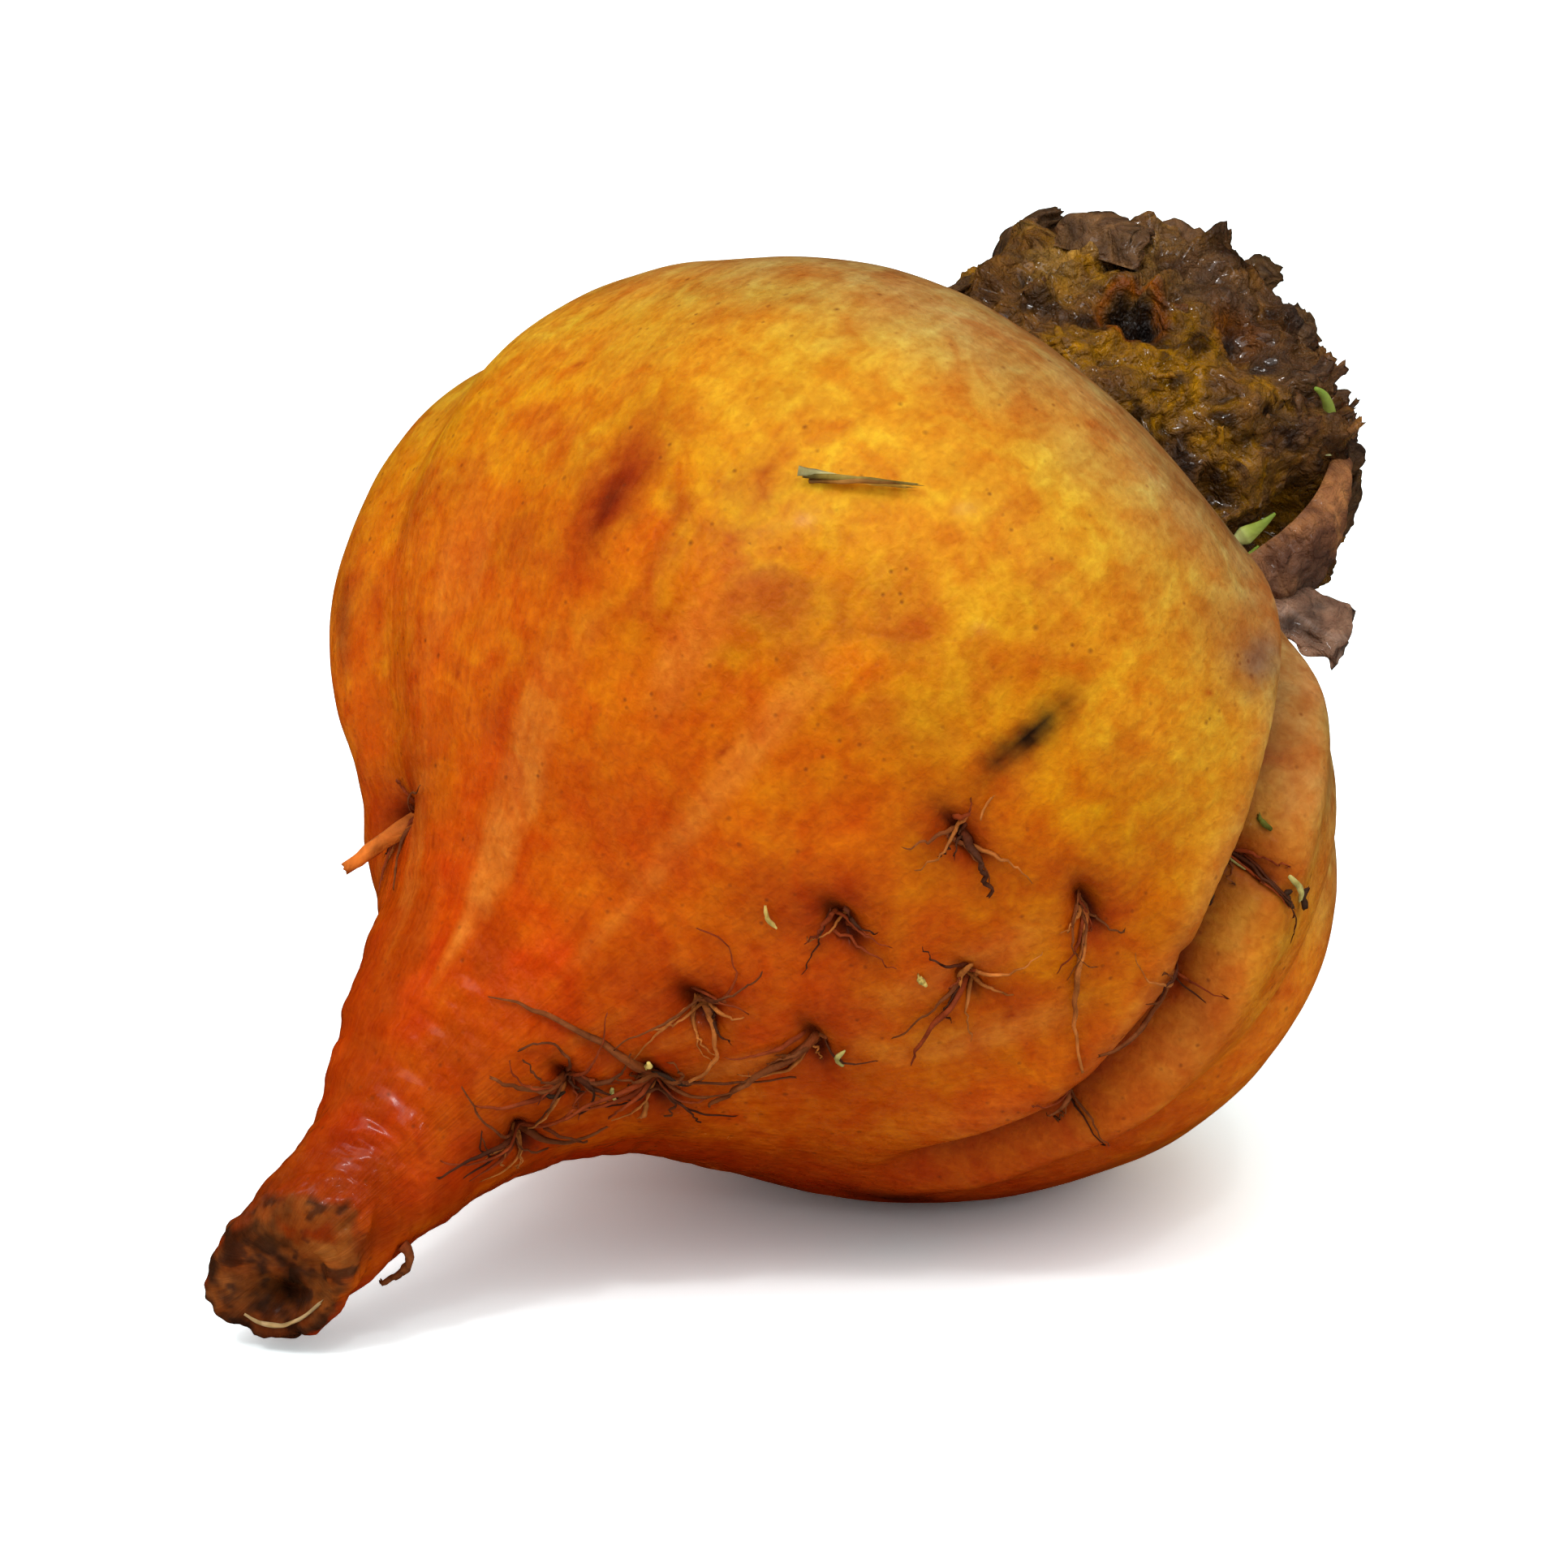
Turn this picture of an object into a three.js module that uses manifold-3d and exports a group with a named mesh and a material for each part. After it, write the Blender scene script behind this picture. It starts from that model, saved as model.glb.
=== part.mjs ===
// Golden beet: a swollen root lying on its belly, with its tail just off the floor, and with the old
// leaf bases, side roots, fresh shoots and a flake of straw that are still on it.
//
// Units are millimetres, +Z is up. The origin is the middle of the small flat spot under the belly,
// and +X runs from the root tip towards the crown.
//
// A place on the root is given as [along, around]: along is measured on the root's own axis from its
// widest ring, positive towards the crown, and around is an angle in degrees about that axis, with
// 0 at +Y, 90 on top and 270 at the belly.

import * as THREE from 'three';
import { mergeVertices } from 'three/addons/utils/BufferGeometryUtils.js';
import Module from 'manifold-3d';

// ---------- driving dimensions ----------

const ROOT_TILT = 29.5;
const WIDEST_RING_CENTRE = new THREE.Vector3(-8.6, 3.4, 38.15);
const GAP = 0.3;

const ROOT_ROWS = 62;
const ROOT_COLUMNS = 64;
const PROFILE_SAMPLES = 600;

// The root's outline: [along, radius], from the hollow in the cut tail, over its rim, up the tail,
// over the belly, the waist and the crown stump, to the dip in the crown's end.
const OUTLINE = [
  [-62.8, 0], [-63.3, 2.1], [-63.8, 3.6], [-63.6, 4.6], [-62.6, 5.2], [-59.6, 5.7], [-54, 6.4],
  [-47, 8.4], [-41, 11.2], [-35, 15.4], [-29, 21.3], [-22, 29.2], [-13, 36], [-3, 40], [6, 40.8], [14, 39],
  [20, 35], [24.5, 29.5], [27, 25], [28.5, 21.5], [31, 19.8], [37, 20.6], [43, 20.2], [49, 18],
  [53, 14.5], [54.5, 10], [54.5, 6], [53, 0],
];

// Rounded swellings and hollows of the flesh. length and width are where they fade to a third,
// in millimetres along and degrees around.
const SWELLS = [
  { along: -8, around: 44, length: 24, width: 22, height: 3.8 },
  { along: -18, around: 20, length: 20, width: 24, height: 2.2 },
  { along: 4, around: 78, length: 20, width: 22, height: -1.4 },
  { along: 4, around: 235, length: 24, width: 40, height: 3.4 },
  { along: -6, around: 200, length: 16, width: 16, height: 1.0 },
  { along: 6, around: 150, length: 26, width: 26, height: 1.2 },
  { along: 20, around: 100, length: 12, width: 30, height: 1.0 },
  { along: -42, around: 240, length: 10, width: 60, height: -2.0 },
  { along: -44, around: 50, length: 8, width: 40, height: 1.2 },
  { along: -62, around: 225, length: 8, width: 45, height: -0.8 },
];

// Creases between the lobes, from the crown side to the tail. Each runs straight from its first
// [along, around] to its last, and bows sideways by half a sine wave of some degrees.
const CREASES = [
  { from: [26, 172], to: [-26, 222], bow: -9, depth: 3.2, width: 3.4 },
  { from: [20, 42], to: [-38, 46], bow: 8, depth: 1.8, width: 4.5 },
  { from: [22, 20], to: [-30, 30], bow: -4, depth: 2.0, width: 3.0 },
  { from: [24, 200], to: [-18, 222], bow: -4, depth: 1.1, width: 2.6 },
  { from: [20, 300], to: [-22, 310], bow: 0, depth: 1.6, width: 4.5 },
];
const CREASE_FADE = 7;

// The relief dies away where the root is thinner than this, so its two ends close in a point.
const RELIEF_RADIUS = 6;

// Decay has eaten pits into the crown stump: [along, around, radius, depth].
const CROWN_PITS = [
  [40, 118, 2.7, 3.4], [46, 142, 2.6, 2.4], [26, 152, 1.4, 1.6], [38, 188, 3.2, 3.0],
  [38, 250, 4, 2.5], [42, 330, 3.5, 2.5],
];

// Lumps and dips of the crown stump, as SWELLS are on the root.
const CROWN_LUMPS = [
  { along: 29, around: 62, length: 5, width: 20, height: 2.8 },
  { along: 49, around: 156, length: 6, width: 22, height: 1.0 },
  { along: 53, around: 120, length: 3.5, width: 22, height: 1.2 },
  { along: 44, around: 175, length: 5, width: 10, height: 1.0 },
  { along: 51, around: 84, length: 4, width: 14, height: -0.8 },
];

// Decay has made the stump lumpy: its waves, around the root and along it, and their height.
const CROWN_START = 29;
const CROWN_FADE = 4;
const CROWN_WAVES = [{ around: 5, along: 0.7 }, { around: 8, along: -1.1 }];
const CROWN_WAVE_HEIGHT = 0.5;

// Side roots grow in two rows on opposite sides, and a few in the main crease: the first and last
// place of each row as [along, around], how many, and how far they stand by turns to each side.
const NEAR_ROW = { first: [-9, 166], last: [-45, 174], count: 9, stagger: 9 };
const FAR_ROW = { first: [-8, 340], last: [-38, 335], count: 4, stagger: 5 };
const CREASE_ROW = { first: [5, 184], last: [-14, 200], count: 3, stagger: 2 };
const VALLEY_PIT = [-30, 50];
const TAIL_STUB = [-57, 210];

// The tail bends sideways and up from TAIL_BEND.start, bows out round TAIL_BOW.middle, and its cut
// end slants.
const TAIL_BEND = { start: -26, scale: 36, side: 2.4, up: 0.2 };
const TAIL_BOW = { middle: -45, length: 15, side: 0.8, up: 0.9 };
const TAIL_CUT = { around: 318, slope: 0.85, start: -50, full: -62 };

// ---------- frame of the root ----------

const tilt = THREE.MathUtils.degToRad(ROOT_TILT);
const AXIS = new THREE.Vector3(Math.cos(tilt), 0, Math.sin(tilt));
const SIDE = new THREE.Vector3(0, 1, 0);
const TOP = new THREE.Vector3().crossVectors(AXIS, SIDE);

const radians = THREE.MathUtils.degToRad;
const smooth = (x) => THREE.MathUtils.smoothstep(x, 0, 1);
const bell = (x) => Math.exp(-x * x);
const turn = (degrees) => THREE.MathUtils.euclideanModulo(degrees + 180, 360) - 180;

const outline = new THREE.SplineCurve(OUTLINE.map(([along, radius]) => new THREE.Vector2(along, radius)));
outline.arcLengthDivisions = 2000;
const outlineSamples = outline.getSpacedPoints(PROFILE_SAMPLES);
const tailRim = outlineSamples.reduce((best, p, i) => (p.x < outlineSamples[best].x ? i : best), 0);

// The fraction of the outline's length at which the skin reaches a given distance along the axis.
function fractionAt(along) {
  let i = tailRim;
  while (i < PROFILE_SAMPLES - 1 && outlineSamples[i + 1].x < along) {
    i += 1;
  }
  const a = outlineSamples[i].x;
  const b = outlineSamples[i + 1].x;
  return (i + (along - a) / (b - a)) / PROFILE_SAMPLES;
}

// A crease's angle at a distance along the axis.
function creaseAngle({ from, to, bow }, along) {
  const share = THREE.MathUtils.clamp((from[0] - along) / (from[0] - to[0]), 0, 1);
  return from[1] + (to[1] - from[1]) * share + bow * Math.sin(Math.PI * share);
}

// The height of a swelling, lump or dip at a place.
function swell({ along: middle, around: angle, length, width, height }, along, around) {
  return height * bell((along - middle) / length) * bell(turn(around - angle) / width);
}

// How far the skin stands out from the plain outline, in millimetres.
function relief(along, around, radius) {
  let height = 0;
  for (const s of SWELLS) {
    height += swell(s, along, around);
  }
  for (const crease of CREASES) {
    const across = radians(turn(around - creaseAngle(crease, along))) * radius;
    const crownSide = smooth((crease.from[0] - along) / CREASE_FADE);
    const tailSide = smooth((along - crease.to[0]) / CREASE_FADE);
    height -= crease.depth * crownSide * tailSide * bell(across / crease.width);
  }
  for (const [pitAlong, pitAround, pitRadius, depth] of CROWN_PITS) {
    const across = radians(turn(around - pitAround)) * radius;
    height -= depth * bell(Math.hypot(along - pitAlong, across) / pitRadius);
  }
  const onCrown = smooth((along - CROWN_START + CROWN_FADE) / CROWN_FADE);
  for (const lump of CROWN_LUMPS) {
    height += onCrown * swell(lump, along, around);
  }
  for (const wave of CROWN_WAVES) {
    height += onCrown * CROWN_WAVE_HEIGHT * Math.sin(radians(around * wave.around) + along * wave.along);
  }
  return height;
}

// A point on the skin, or lifted off it: fraction runs from 0 in the tail's hollow to 1 at the crown.
function skinPoint(fraction, around, lift = 0) {
  const onOutline = outline.getPointAt(fraction);
  const tangent = outline.getTangentAt(fraction);
  const plain = Math.max(onOutline.y, 0);
  const fade = THREE.MathUtils.clamp(plain / RELIEF_RADIUS, 0, 1);
  const out = (relief(onOutline.x, around, plain) + lift) * fade;
  const radius = plain + out * tangent.x;
  const along = onOutline.x - out * tangent.y;
  const bend = Math.max((TAIL_BEND.start - onOutline.x) / TAIL_BEND.scale, 0) ** 2;
  const bow = bell((onOutline.x - TAIL_BOW.middle) / TAIL_BOW.length);
  const aside = TAIL_BEND.side * bend + TAIL_BOW.side * bow;
  const upward = TAIL_BEND.up * bend + TAIL_BOW.up * bow;
  const slant = smooth((TAIL_CUT.start - onOutline.x) / (TAIL_CUT.start - TAIL_CUT.full));
  const cut = TAIL_CUT.slope * radius * Math.cos(radians(around - TAIL_CUT.around)) * slant;
  return WIDEST_RING_CENTRE.clone()
    .addScaledVector(AXIS, along - cut)
    .addScaledVector(SIDE, radius * Math.cos(radians(around)) + aside)
    .addScaledVector(TOP, radius * Math.sin(radians(around)) + upward);
}

// The same place from [along, around, lift].
function onSkin([along, around, lift = 0]) {
  return skinPoint(fractionAt(along), around, lift);
}

// Places spread evenly along a row, by turns to its left and right.
function pitRow({ first, last, count, stagger }) {
  return Array.from({ length: count }, (_, i) => {
    const share = i / (count - 1);
    const side = i % 2 === 0 ? stagger : -stagger;
    return [first[0] + (last[0] - first[0]) * share, first[1] + (last[1] - first[1]) * share + side];
  });
}

// A curve over the skin. It sets off from start towards heading, where 0 is the crown and 90 is
// round the root, and turns by curl degrees on its way. lift(s) is its height off the skin.
const CREEP_STEPS = 10;
function creep({ start, heading, length, curl }, lift) {
  const radius = outline.getPointAt(fractionAt(start[0])).y;
  let [along, around] = start;
  const points = [onSkin([along, around, lift(0)])];
  for (let i = 0; i < CREEP_STEPS; i += 1) {
    const angle = radians(heading + curl * (i + 0.5) / CREEP_STEPS);
    along += Math.cos(angle) * length / CREEP_STEPS;
    around += THREE.MathUtils.radToDeg(Math.sin(angle) * length / CREEP_STEPS / radius);
    points.push(onSkin([along, around, lift((i + 1) / CREEP_STEPS)]));
  }
  return new THREE.CatmullRomCurve3(points);
}

// ---------- closed surfaces ----------

// Carries a sphere's closed grid to a shape: place(along, around) takes a fraction and degrees.
function closedGrid(columns, rows, place) {
  const geometry = new THREE.SphereGeometry(1, columns, rows);
  const { position, uv } = geometry.attributes;
  for (let i = 0; i < position.count; i += 1) {
    const p = place(uv.getY(i), uv.getX(i) * 360);
    position.setXYZ(i, p.x, p.y, p.z);
  }
  geometry.deleteAttribute('normal');
  geometry.deleteAttribute('uv');
  return mergeVertices(geometry, 1e-4);
}

// A torn end is a sum of waves round it: how many waves, how high, and how far each is turned on
// from one piece to the next.
const TEETH = [{ waves: 3, height: 0.6, shift: 1 }, { waves: 5, height: 0.4, shift: 2 }];

// A solid along a curve. section(fraction) gives half its width, half its thickness and how far its
// edges bend down. wide is the direction of its width, and ragged how far its far end is torn.
function stalk(curve, wide, section, { columns = 8, rows = 10, ragged = 0, seed = 0 } = {}) {
  return closedGrid(columns, rows, (fraction, around) => {
    const row = Math.round(fraction * rows);
    const s = THREE.MathUtils.clamp((row - 1) / (rows - 2), 0, 1);
    const forward = curve.getTangentAt(s);
    const across = wide.clone().addScaledVector(forward, -wide.dot(forward)).normalize();
    const outward = new THREE.Vector3().crossVectors(forward, across);
    const angle = radians(around);
    const { half, thick, sag = 0 } = section(s);
    const size = row === 0 || row === rows ? 0 : 1;
    const teeth = TEETH.reduce((sum, t) => sum + t.height * Math.sin(angle * t.waves + t.shift * seed), 0);
    const tear = ragged * s * s * teeth;
    const bent = sag * Math.cos(angle) ** 2;
    return curve.getPointAt(s)
      .addScaledVector(across, size * half * Math.cos(angle))
      .addScaledVector(outward, size * (thick * Math.sin(angle) - bent))
      .addScaledVector(forward, size * tear);
  });
}

// ---------- joining and cutting ----------

const wasm = await Module();
wasm.setup();

function toSolid(geometry) {
  const vertProperties = new Float32Array(geometry.attributes.position.array);
  const triVerts = new Uint32Array(geometry.index.array);
  return new wasm.Manifold(new wasm.Mesh({ numProp: 3, vertProperties, triVerts }));
}

function toGeometry(solid) {
  const { vertProperties, triVerts } = solid.getMesh();
  const geometry = new THREE.BufferGeometry();
  geometry.setAttribute('position', new THREE.BufferAttribute(new Float32Array(vertProperties), 3));
  geometry.setIndex(new THREE.BufferAttribute(new Uint32Array(triVerts), 1));
  geometry.computeVertexNormals();
  return geometry;
}

function rootSolid(lift) {
  const place = (fraction, around) => skinPoint(fraction, around, lift);
  return toSolid(closedGrid(ROOT_COLUMNS, ROOT_ROWS, place));
}

const FLOOR_DEPTH = 20;
const FLOOR_SIZE = 300;
const floorBox = new THREE.BoxGeometry(FLOOR_SIZE, FLOOR_SIZE, FLOOR_DEPTH);
floorBox.translate(0, 0, -FLOOR_DEPTH / 2);
floorBox.deleteAttribute('normal');
floorBox.deleteAttribute('uv');
const belowFloor = toSolid(mergeVertices(floorBox));

const clearOfRoot = rootSolid(GAP);

// A piece cut back to stand clear of the root. Where the cut leaves several bodies, the biggest stays.
function cutClear(geometry) {
  const bodies = toSolid(geometry).subtract(clearOfRoot).decompose();
  return toGeometry(bodies.reduce((best, body) => (body.volume() > best.volume() ? body : best)));
}

// ---------- materials ----------

function finish(color, roughness) {
  return new THREE.MeshStandardMaterial({ color, roughness, metalness: 0 });
}

const beet = new THREE.Group();

function addPiece(name, geometry, color, roughness) {
  const mesh = new THREE.Mesh(geometry, finish(color, roughness));
  mesh.name = name;
  beet.add(mesh);
}

const numbered = (name, i) => `${name}_${String(i + 1).padStart(2, '0')}`;

// ---------- the root ----------

// The belly's lowest skin is pressed flat where the root rests.
addPiece('beet_root', toGeometry(rootSolid(0).subtract(belowFloor)), 0xd9861c, 0.45);

// ---------- leaf stalk stubs ----------

// Rings of stubs: along the axis, the first stub's angle, the step between them and how many. Then
// each stub's length, width, thickness, and how far it leans from straight out of the skin (0) to
// straight along it (90).
const STUB_RINGS = [
  { along: 51, first: 20, step: 45, count: 8, length: 3, width: 5, thick: 2.6, lean: 84 },
  { along: 45, first: 205, step: 36, count: 8, length: 4, width: 7, thick: 2.8, lean: 82 },
  { along: 29, first: 232, step: 64, count: 4, length: 9, width: 8.5, thick: 2.8, lean: 80 },
  { along: 53, first: 25, step: 108, count: 3, length: 4, width: 3.5, thick: 2.2, lean: 54 },
];
// Neighbours differ in size: each is longer and slimmer, or shorter and wider, by this share.
const STUB_VARIES = 0.18;
const STUB_STEP = 2.4;
const STUB_ROOTED = 1.5;
const STUB_TEAR = 0.9;
// A stub bows outwards on its way, narrows and thins towards its end, and is hollowed at its foot.
const STUB_BOW = { at: 0.4, out: 0.08 };
const STUB_NARROWS = 0.3;
const STUB_THINS = 0.35;
const STUB_HOLLOW = 0.12;
// How far apart two places are taken, in degrees, to find the direction round the root.
const ROUND_STEP = 5;

function stubShape({ along, around, length, width, thick, lean }, seed) {
  const base = onSkin([along, around]);
  const outward = onSkin([along, around, 1]).sub(base).normalize();
  const onward = onSkin([along + 1, around]).sub(base).normalize();
  const round = onSkin([along, around + ROUND_STEP]).sub(onSkin([along, around - ROUND_STEP])).normalize();
  const forward = outward.clone().multiplyScalar(Math.cos(radians(lean)))
    .addScaledVector(onward, Math.sin(radians(lean))).normalize();
  const curve = new THREE.CatmullRomCurve3([
    base.clone().addScaledVector(outward, -STUB_ROOTED),
    base.clone()
      .addScaledVector(forward, length * STUB_BOW.at)
      .addScaledVector(outward, length * STUB_BOW.out),
    base.clone().addScaledVector(forward, length),
  ]);
  const section = (s) => ({
    half: 0.5 * width * (1 - STUB_NARROWS * s * s),
    thick: 0.5 * thick * (1 - STUB_THINS * s),
    sag: STUB_HOLLOW * width * (1 - s),
  });
  return stalk(curve, round, section, { rows: 8, ragged: STUB_TEAR, seed });
}

let stubCount = 0;
for (const { along, first, step, count, length, width, thick, lean } of STUB_RINGS) {
  for (let k = 0; k < count; k += 1) {
    const size = 1 + STUB_VARIES * Math.sin(STUB_STEP * stubCount);
    const stub = { along, around: first + step * k, thick, lean };
    const shape = stubShape({ ...stub, length: length * size, width: width / size }, stubCount + 1);
    const name = numbered('leaf_stalk_stub', stubCount);
    addPiece(name, cutClear(shape), 0x4b3520, 0.6);
    stubCount += 1;
  }
}

// ---------- the dry leaf base ----------

// A curled sheet that springs from the waist and stands round the side of the crown. Its middle runs
// from foot to top, and bows sideways and bulges by half a sine wave on its way. As shares
// of its width, it starts at footShare, swells in the middle and narrows towards its top.
const LEAF_BASE = {
  foot: 25, top: 45, around: 184, bow: 5, off: 1.2, bulge: 3.2,
  width: 9.5, thick: 1.3, curl: 2.0, ragged: 0.8,
  footShare: 0.65, swell: 0.5, narrows: 0.35,
};
const LEAF_BASE_STEPS = 6;

const leafBasePoints = Array.from({ length: LEAF_BASE_STEPS + 1 }, (_, i) => {
  const share = i / LEAF_BASE_STEPS;
  const wave = Math.sin(Math.PI * share);
  return onSkin([
    LEAF_BASE.foot + (LEAF_BASE.top - LEAF_BASE.foot) * share,
    LEAF_BASE.around + LEAF_BASE.bow * wave,
    LEAF_BASE.off + LEAF_BASE.bulge * wave,
  ]);
});
const leafBaseCurve = new THREE.CatmullRomCurve3(leafBasePoints);
const leafBaseMiddle = (LEAF_BASE.foot + LEAF_BASE.top) / 2;
const leafBaseWide = onSkin([leafBaseMiddle, LEAF_BASE.around + ROUND_STEP])
  .sub(onSkin([leafBaseMiddle, LEAF_BASE.around - ROUND_STEP]));
const leafBaseSection = (s) => ({
  half: 0.5 * LEAF_BASE.width
    * (LEAF_BASE.footShare + LEAF_BASE.swell * Math.sin(Math.PI * s) - LEAF_BASE.narrows * s),
  thick: 0.5 * LEAF_BASE.thick,
  sag: LEAF_BASE.curl * Math.sin(Math.PI * s),
});
const leafBaseGrid = { columns: 20, rows: 18, ragged: LEAF_BASE.ragged };
const leafBaseShape = stalk(leafBaseCurve, leafBaseWide, leafBaseSection, leafBaseGrid);

// A flap torn off its foot stands away from the skin: its two ends as [along, around, lift].
const FLAP = { from: [30, 188, 3.2], to: [34, 196, 9], half: 2.2, widens: 0.6, thick: 0.5, ragged: 0.6 };
const flapCurve = new THREE.LineCurve3(onSkin(FLAP.from), onSkin(FLAP.to));
const flapSection = (s) => ({ half: FLAP.half + FLAP.widens * s, thick: FLAP.thick });
const flapShape = stalk(flapCurve, AXIS.clone(), flapSection, { ragged: FLAP.ragged });
const leafBaseAndFlap = toGeometry(toSolid(leafBaseShape).add(toSolid(flapShape)));
addPiece('dry_leaf_base', cutClear(leafBaseAndFlap), 0x7a5236, 0.55);

// ---------- side roots ----------

const nearPits = pitRow(NEAR_ROW);
const farPits = pitRow(FAR_ROW);
const creasePits = pitRow(CREASE_ROW);

// Each side root: its route, its radius at the skin and at its tip, and how far it lifts off. The
// first one stands up, so it lifts all the way to its tip.
const SIDE_ROOTS = [
  { start: VALLEY_PIT, heading: 200, length: 4, curl: 40, base: 0.75, tip: 0.4, lift: 3.5, stands: true },
  { start: nearPits[6], heading: -100, length: 16, curl: -10, base: 0.55, tip: 0.3, lift: 1.0 },
  { start: nearPits[0], heading: 130, length: 14, curl: -40, base: 0.4, tip: 0.3, lift: 1.0 },
  { start: nearPits[1], heading: 90, length: 5, curl: 20, base: 0.5, tip: 0.3, lift: 1.2 },
  { start: nearPits[2], heading: 160, length: 8, curl: -60, base: 0.4, tip: 0.3, lift: 1.0 },
  { start: creasePits[1], heading: 150, length: 8, curl: 30, base: 0.42, tip: 0.3, lift: 1.1 },
  { start: nearPits[4], heading: 170, length: 9, curl: -60, base: 0.45, tip: 0.3, lift: 1.1 },
  { start: nearPits[5], heading: 80, length: 8, curl: 70, base: 0.42, tip: 0.3, lift: 1.0 },
  { start: nearPits[7], heading: 200, length: 6, curl: 60, base: 0.4, tip: 0.3, lift: 1.1 },
  { start: nearPits[8], heading: 60, length: 6, curl: -80, base: 0.4, tip: 0.3, lift: 1.0 },
  { start: TAIL_STUB, heading: 60, length: 4, curl: 70, base: 0.7, tip: 0.4, lift: 1.4 },
  { start: farPits[2], heading: 170, length: 9, curl: 20, base: 0.6, tip: 0.35, lift: 1.5 },
  { start: farPits[1], heading: 200, length: 8, curl: -30, base: 0.5, tip: 0.3, lift: 1.3 },
];
// Its middle starts this far off the skin, and reaches its lift at this share of its length.
const SIDE_ROOT_START = 0.2;
const SIDE_ROOT_RISEN = 1 / 3;

SIDE_ROOTS.forEach((root, i) => {
  const { start, base, tip, lift, stands } = root;
  const risen = (s) => (stands ? s : Math.min(s / SIDE_ROOT_RISEN, 1));
  const rise = (s) => SIDE_ROOT_START + (lift - SIDE_ROOT_START) * risen(s);
  const section = (s) => ({ half: base + (tip - base) * s, thick: base + (tip - base) * s });
  const wide = onSkin([start[0], start[1], 1]).sub(onSkin(start));
  const shape = stalk(creep(root, rise), wide, section, { columns: 6, rows: 9 });
  addPiece(numbered('side_root', i), cutClear(shape), 0x8a4a1c, 0.6);
});

// ---------- fresh shoots ----------

// Each shoot: its route from its foot, its radius there, and how far its tip lifts off.
const SHOOTS = [
  { start: [44, 178], heading: -60, length: 7, curl: -80, radius: 0.8, lift: 3.8 },
  { start: [31, 176], heading: 0, length: 4, curl: -20, radius: 0.9, lift: 2.6 },
  { start: [30, 183], heading: -30, length: 3, curl: 0, radius: 0.5, lift: 2.0 },
];
const SHOOT_START = 0.9;
const SHOOT_TAPER = 0.5;

SHOOTS.forEach((shoot, i) => {
  const rise = (s) => SHOOT_START + (shoot.lift - SHOOT_START) * s;
  const radius = (s) => shoot.radius * (1 - SHOOT_TAPER * s);
  const section = (s) => ({ half: radius(s), thick: radius(s) });
  const shape = stalk(creep(shoot, rise), AXIS.clone(), section, { rows: 10 });
  addPiece(numbered('green_shoot', i), cutClear(shape), 0x9aa84a, 0.5);
});

// ---------- a flake of straw ----------

const STRAW = {
  start: [-3, 117], heading: 60, length: 8, curl: 0, lift: 0.9,
  width: 1.2, thick: 0.5, narrows: 0.5,
};

const strawCurve = creep(STRAW, () => STRAW.lift);
const strawSection = (s) => ({
  half: 0.5 * STRAW.width * (1 - STRAW.narrows * s),
  thick: 0.5 * STRAW.thick,
});
const strawWide = AXIS.clone();
addPiece('straw_bit', cutClear(stalk(strawCurve, strawWide, strawSection)), 0xb59a5a, 0.7);

export default beet;
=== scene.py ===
# %% [markdown]
# # A golden beet, modelled as a lesson
#
# The beet is one swollen root lying on its belly, with its tail just off the floor. Its crown has begun
# to rot, old leaf stalks and a curled dry leaf base are still on it, and thin side roots grow out
# of dark pits in the skin. The construction model fixes where every piece is. This script builds
# the fine surfaces and finishes round it, in the same frame, in metres.

# %% Load the construction model
import itertools
import math

import bpy
import mathutils
import numpy as np
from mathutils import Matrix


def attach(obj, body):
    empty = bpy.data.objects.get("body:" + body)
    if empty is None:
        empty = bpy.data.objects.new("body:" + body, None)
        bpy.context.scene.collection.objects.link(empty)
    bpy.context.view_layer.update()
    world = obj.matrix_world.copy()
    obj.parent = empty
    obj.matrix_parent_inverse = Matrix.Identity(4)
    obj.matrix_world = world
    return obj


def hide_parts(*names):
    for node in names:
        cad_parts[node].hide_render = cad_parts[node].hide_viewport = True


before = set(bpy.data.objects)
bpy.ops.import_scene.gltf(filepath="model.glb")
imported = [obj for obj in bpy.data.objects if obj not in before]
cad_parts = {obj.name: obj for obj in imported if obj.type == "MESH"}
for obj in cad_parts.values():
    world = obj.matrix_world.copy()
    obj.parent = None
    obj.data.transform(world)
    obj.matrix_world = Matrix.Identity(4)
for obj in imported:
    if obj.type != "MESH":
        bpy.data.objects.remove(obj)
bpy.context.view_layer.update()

# %% [markdown]
# ## The shape of the root, as a formula
#
# A beet could be sculpted by hand, but a formula can be read, changed and used again to place
# things on the skin. The root is a profile turned about a tilted axis. A place on it is given by
# how far it is along the axis from the widest ring, and by an angle around the axis. Everything
# is worked out in millimetres and becomes metres only when a mesh is made.

# %% The root's outline and frame
MM = 0.001
# the axis tilts up towards the crown, and the middle of the widest ring is here
ROOT_TILT = math.radians(29.5)
WIDEST_RING = np.array([-8.6, 3.4, 38.15])
AXIS = np.array([math.cos(ROOT_TILT), 0, math.sin(ROOT_TILT)])
SIDE = np.array([0, 1.0, 0])
TOP = np.cross(AXIS, SIDE)

# (along, radius) from the hollow in the cut tail to the collar that turns in under the crown
ROOT_OUTLINE = [
    (-62.8, 0), (-63.3, 2.1), (-63.8, 3.6), (-63.6, 4.6), (-62.6, 5.2), (-59.6, 5.7), (-54, 6.4), (-47, 8.4),
    (-41, 11.2), (-35, 15.4), (-29, 21.3), (-22, 29.2), (-13, 36), (-3, 40), (6, 40.8), (14, 39),
    (20, 35), (24.3, 29.5), (26.6, 25), (27.0, 22.4), (25.6, 20.6), (23, 19), (21, 14), (20, 0),
]
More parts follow.
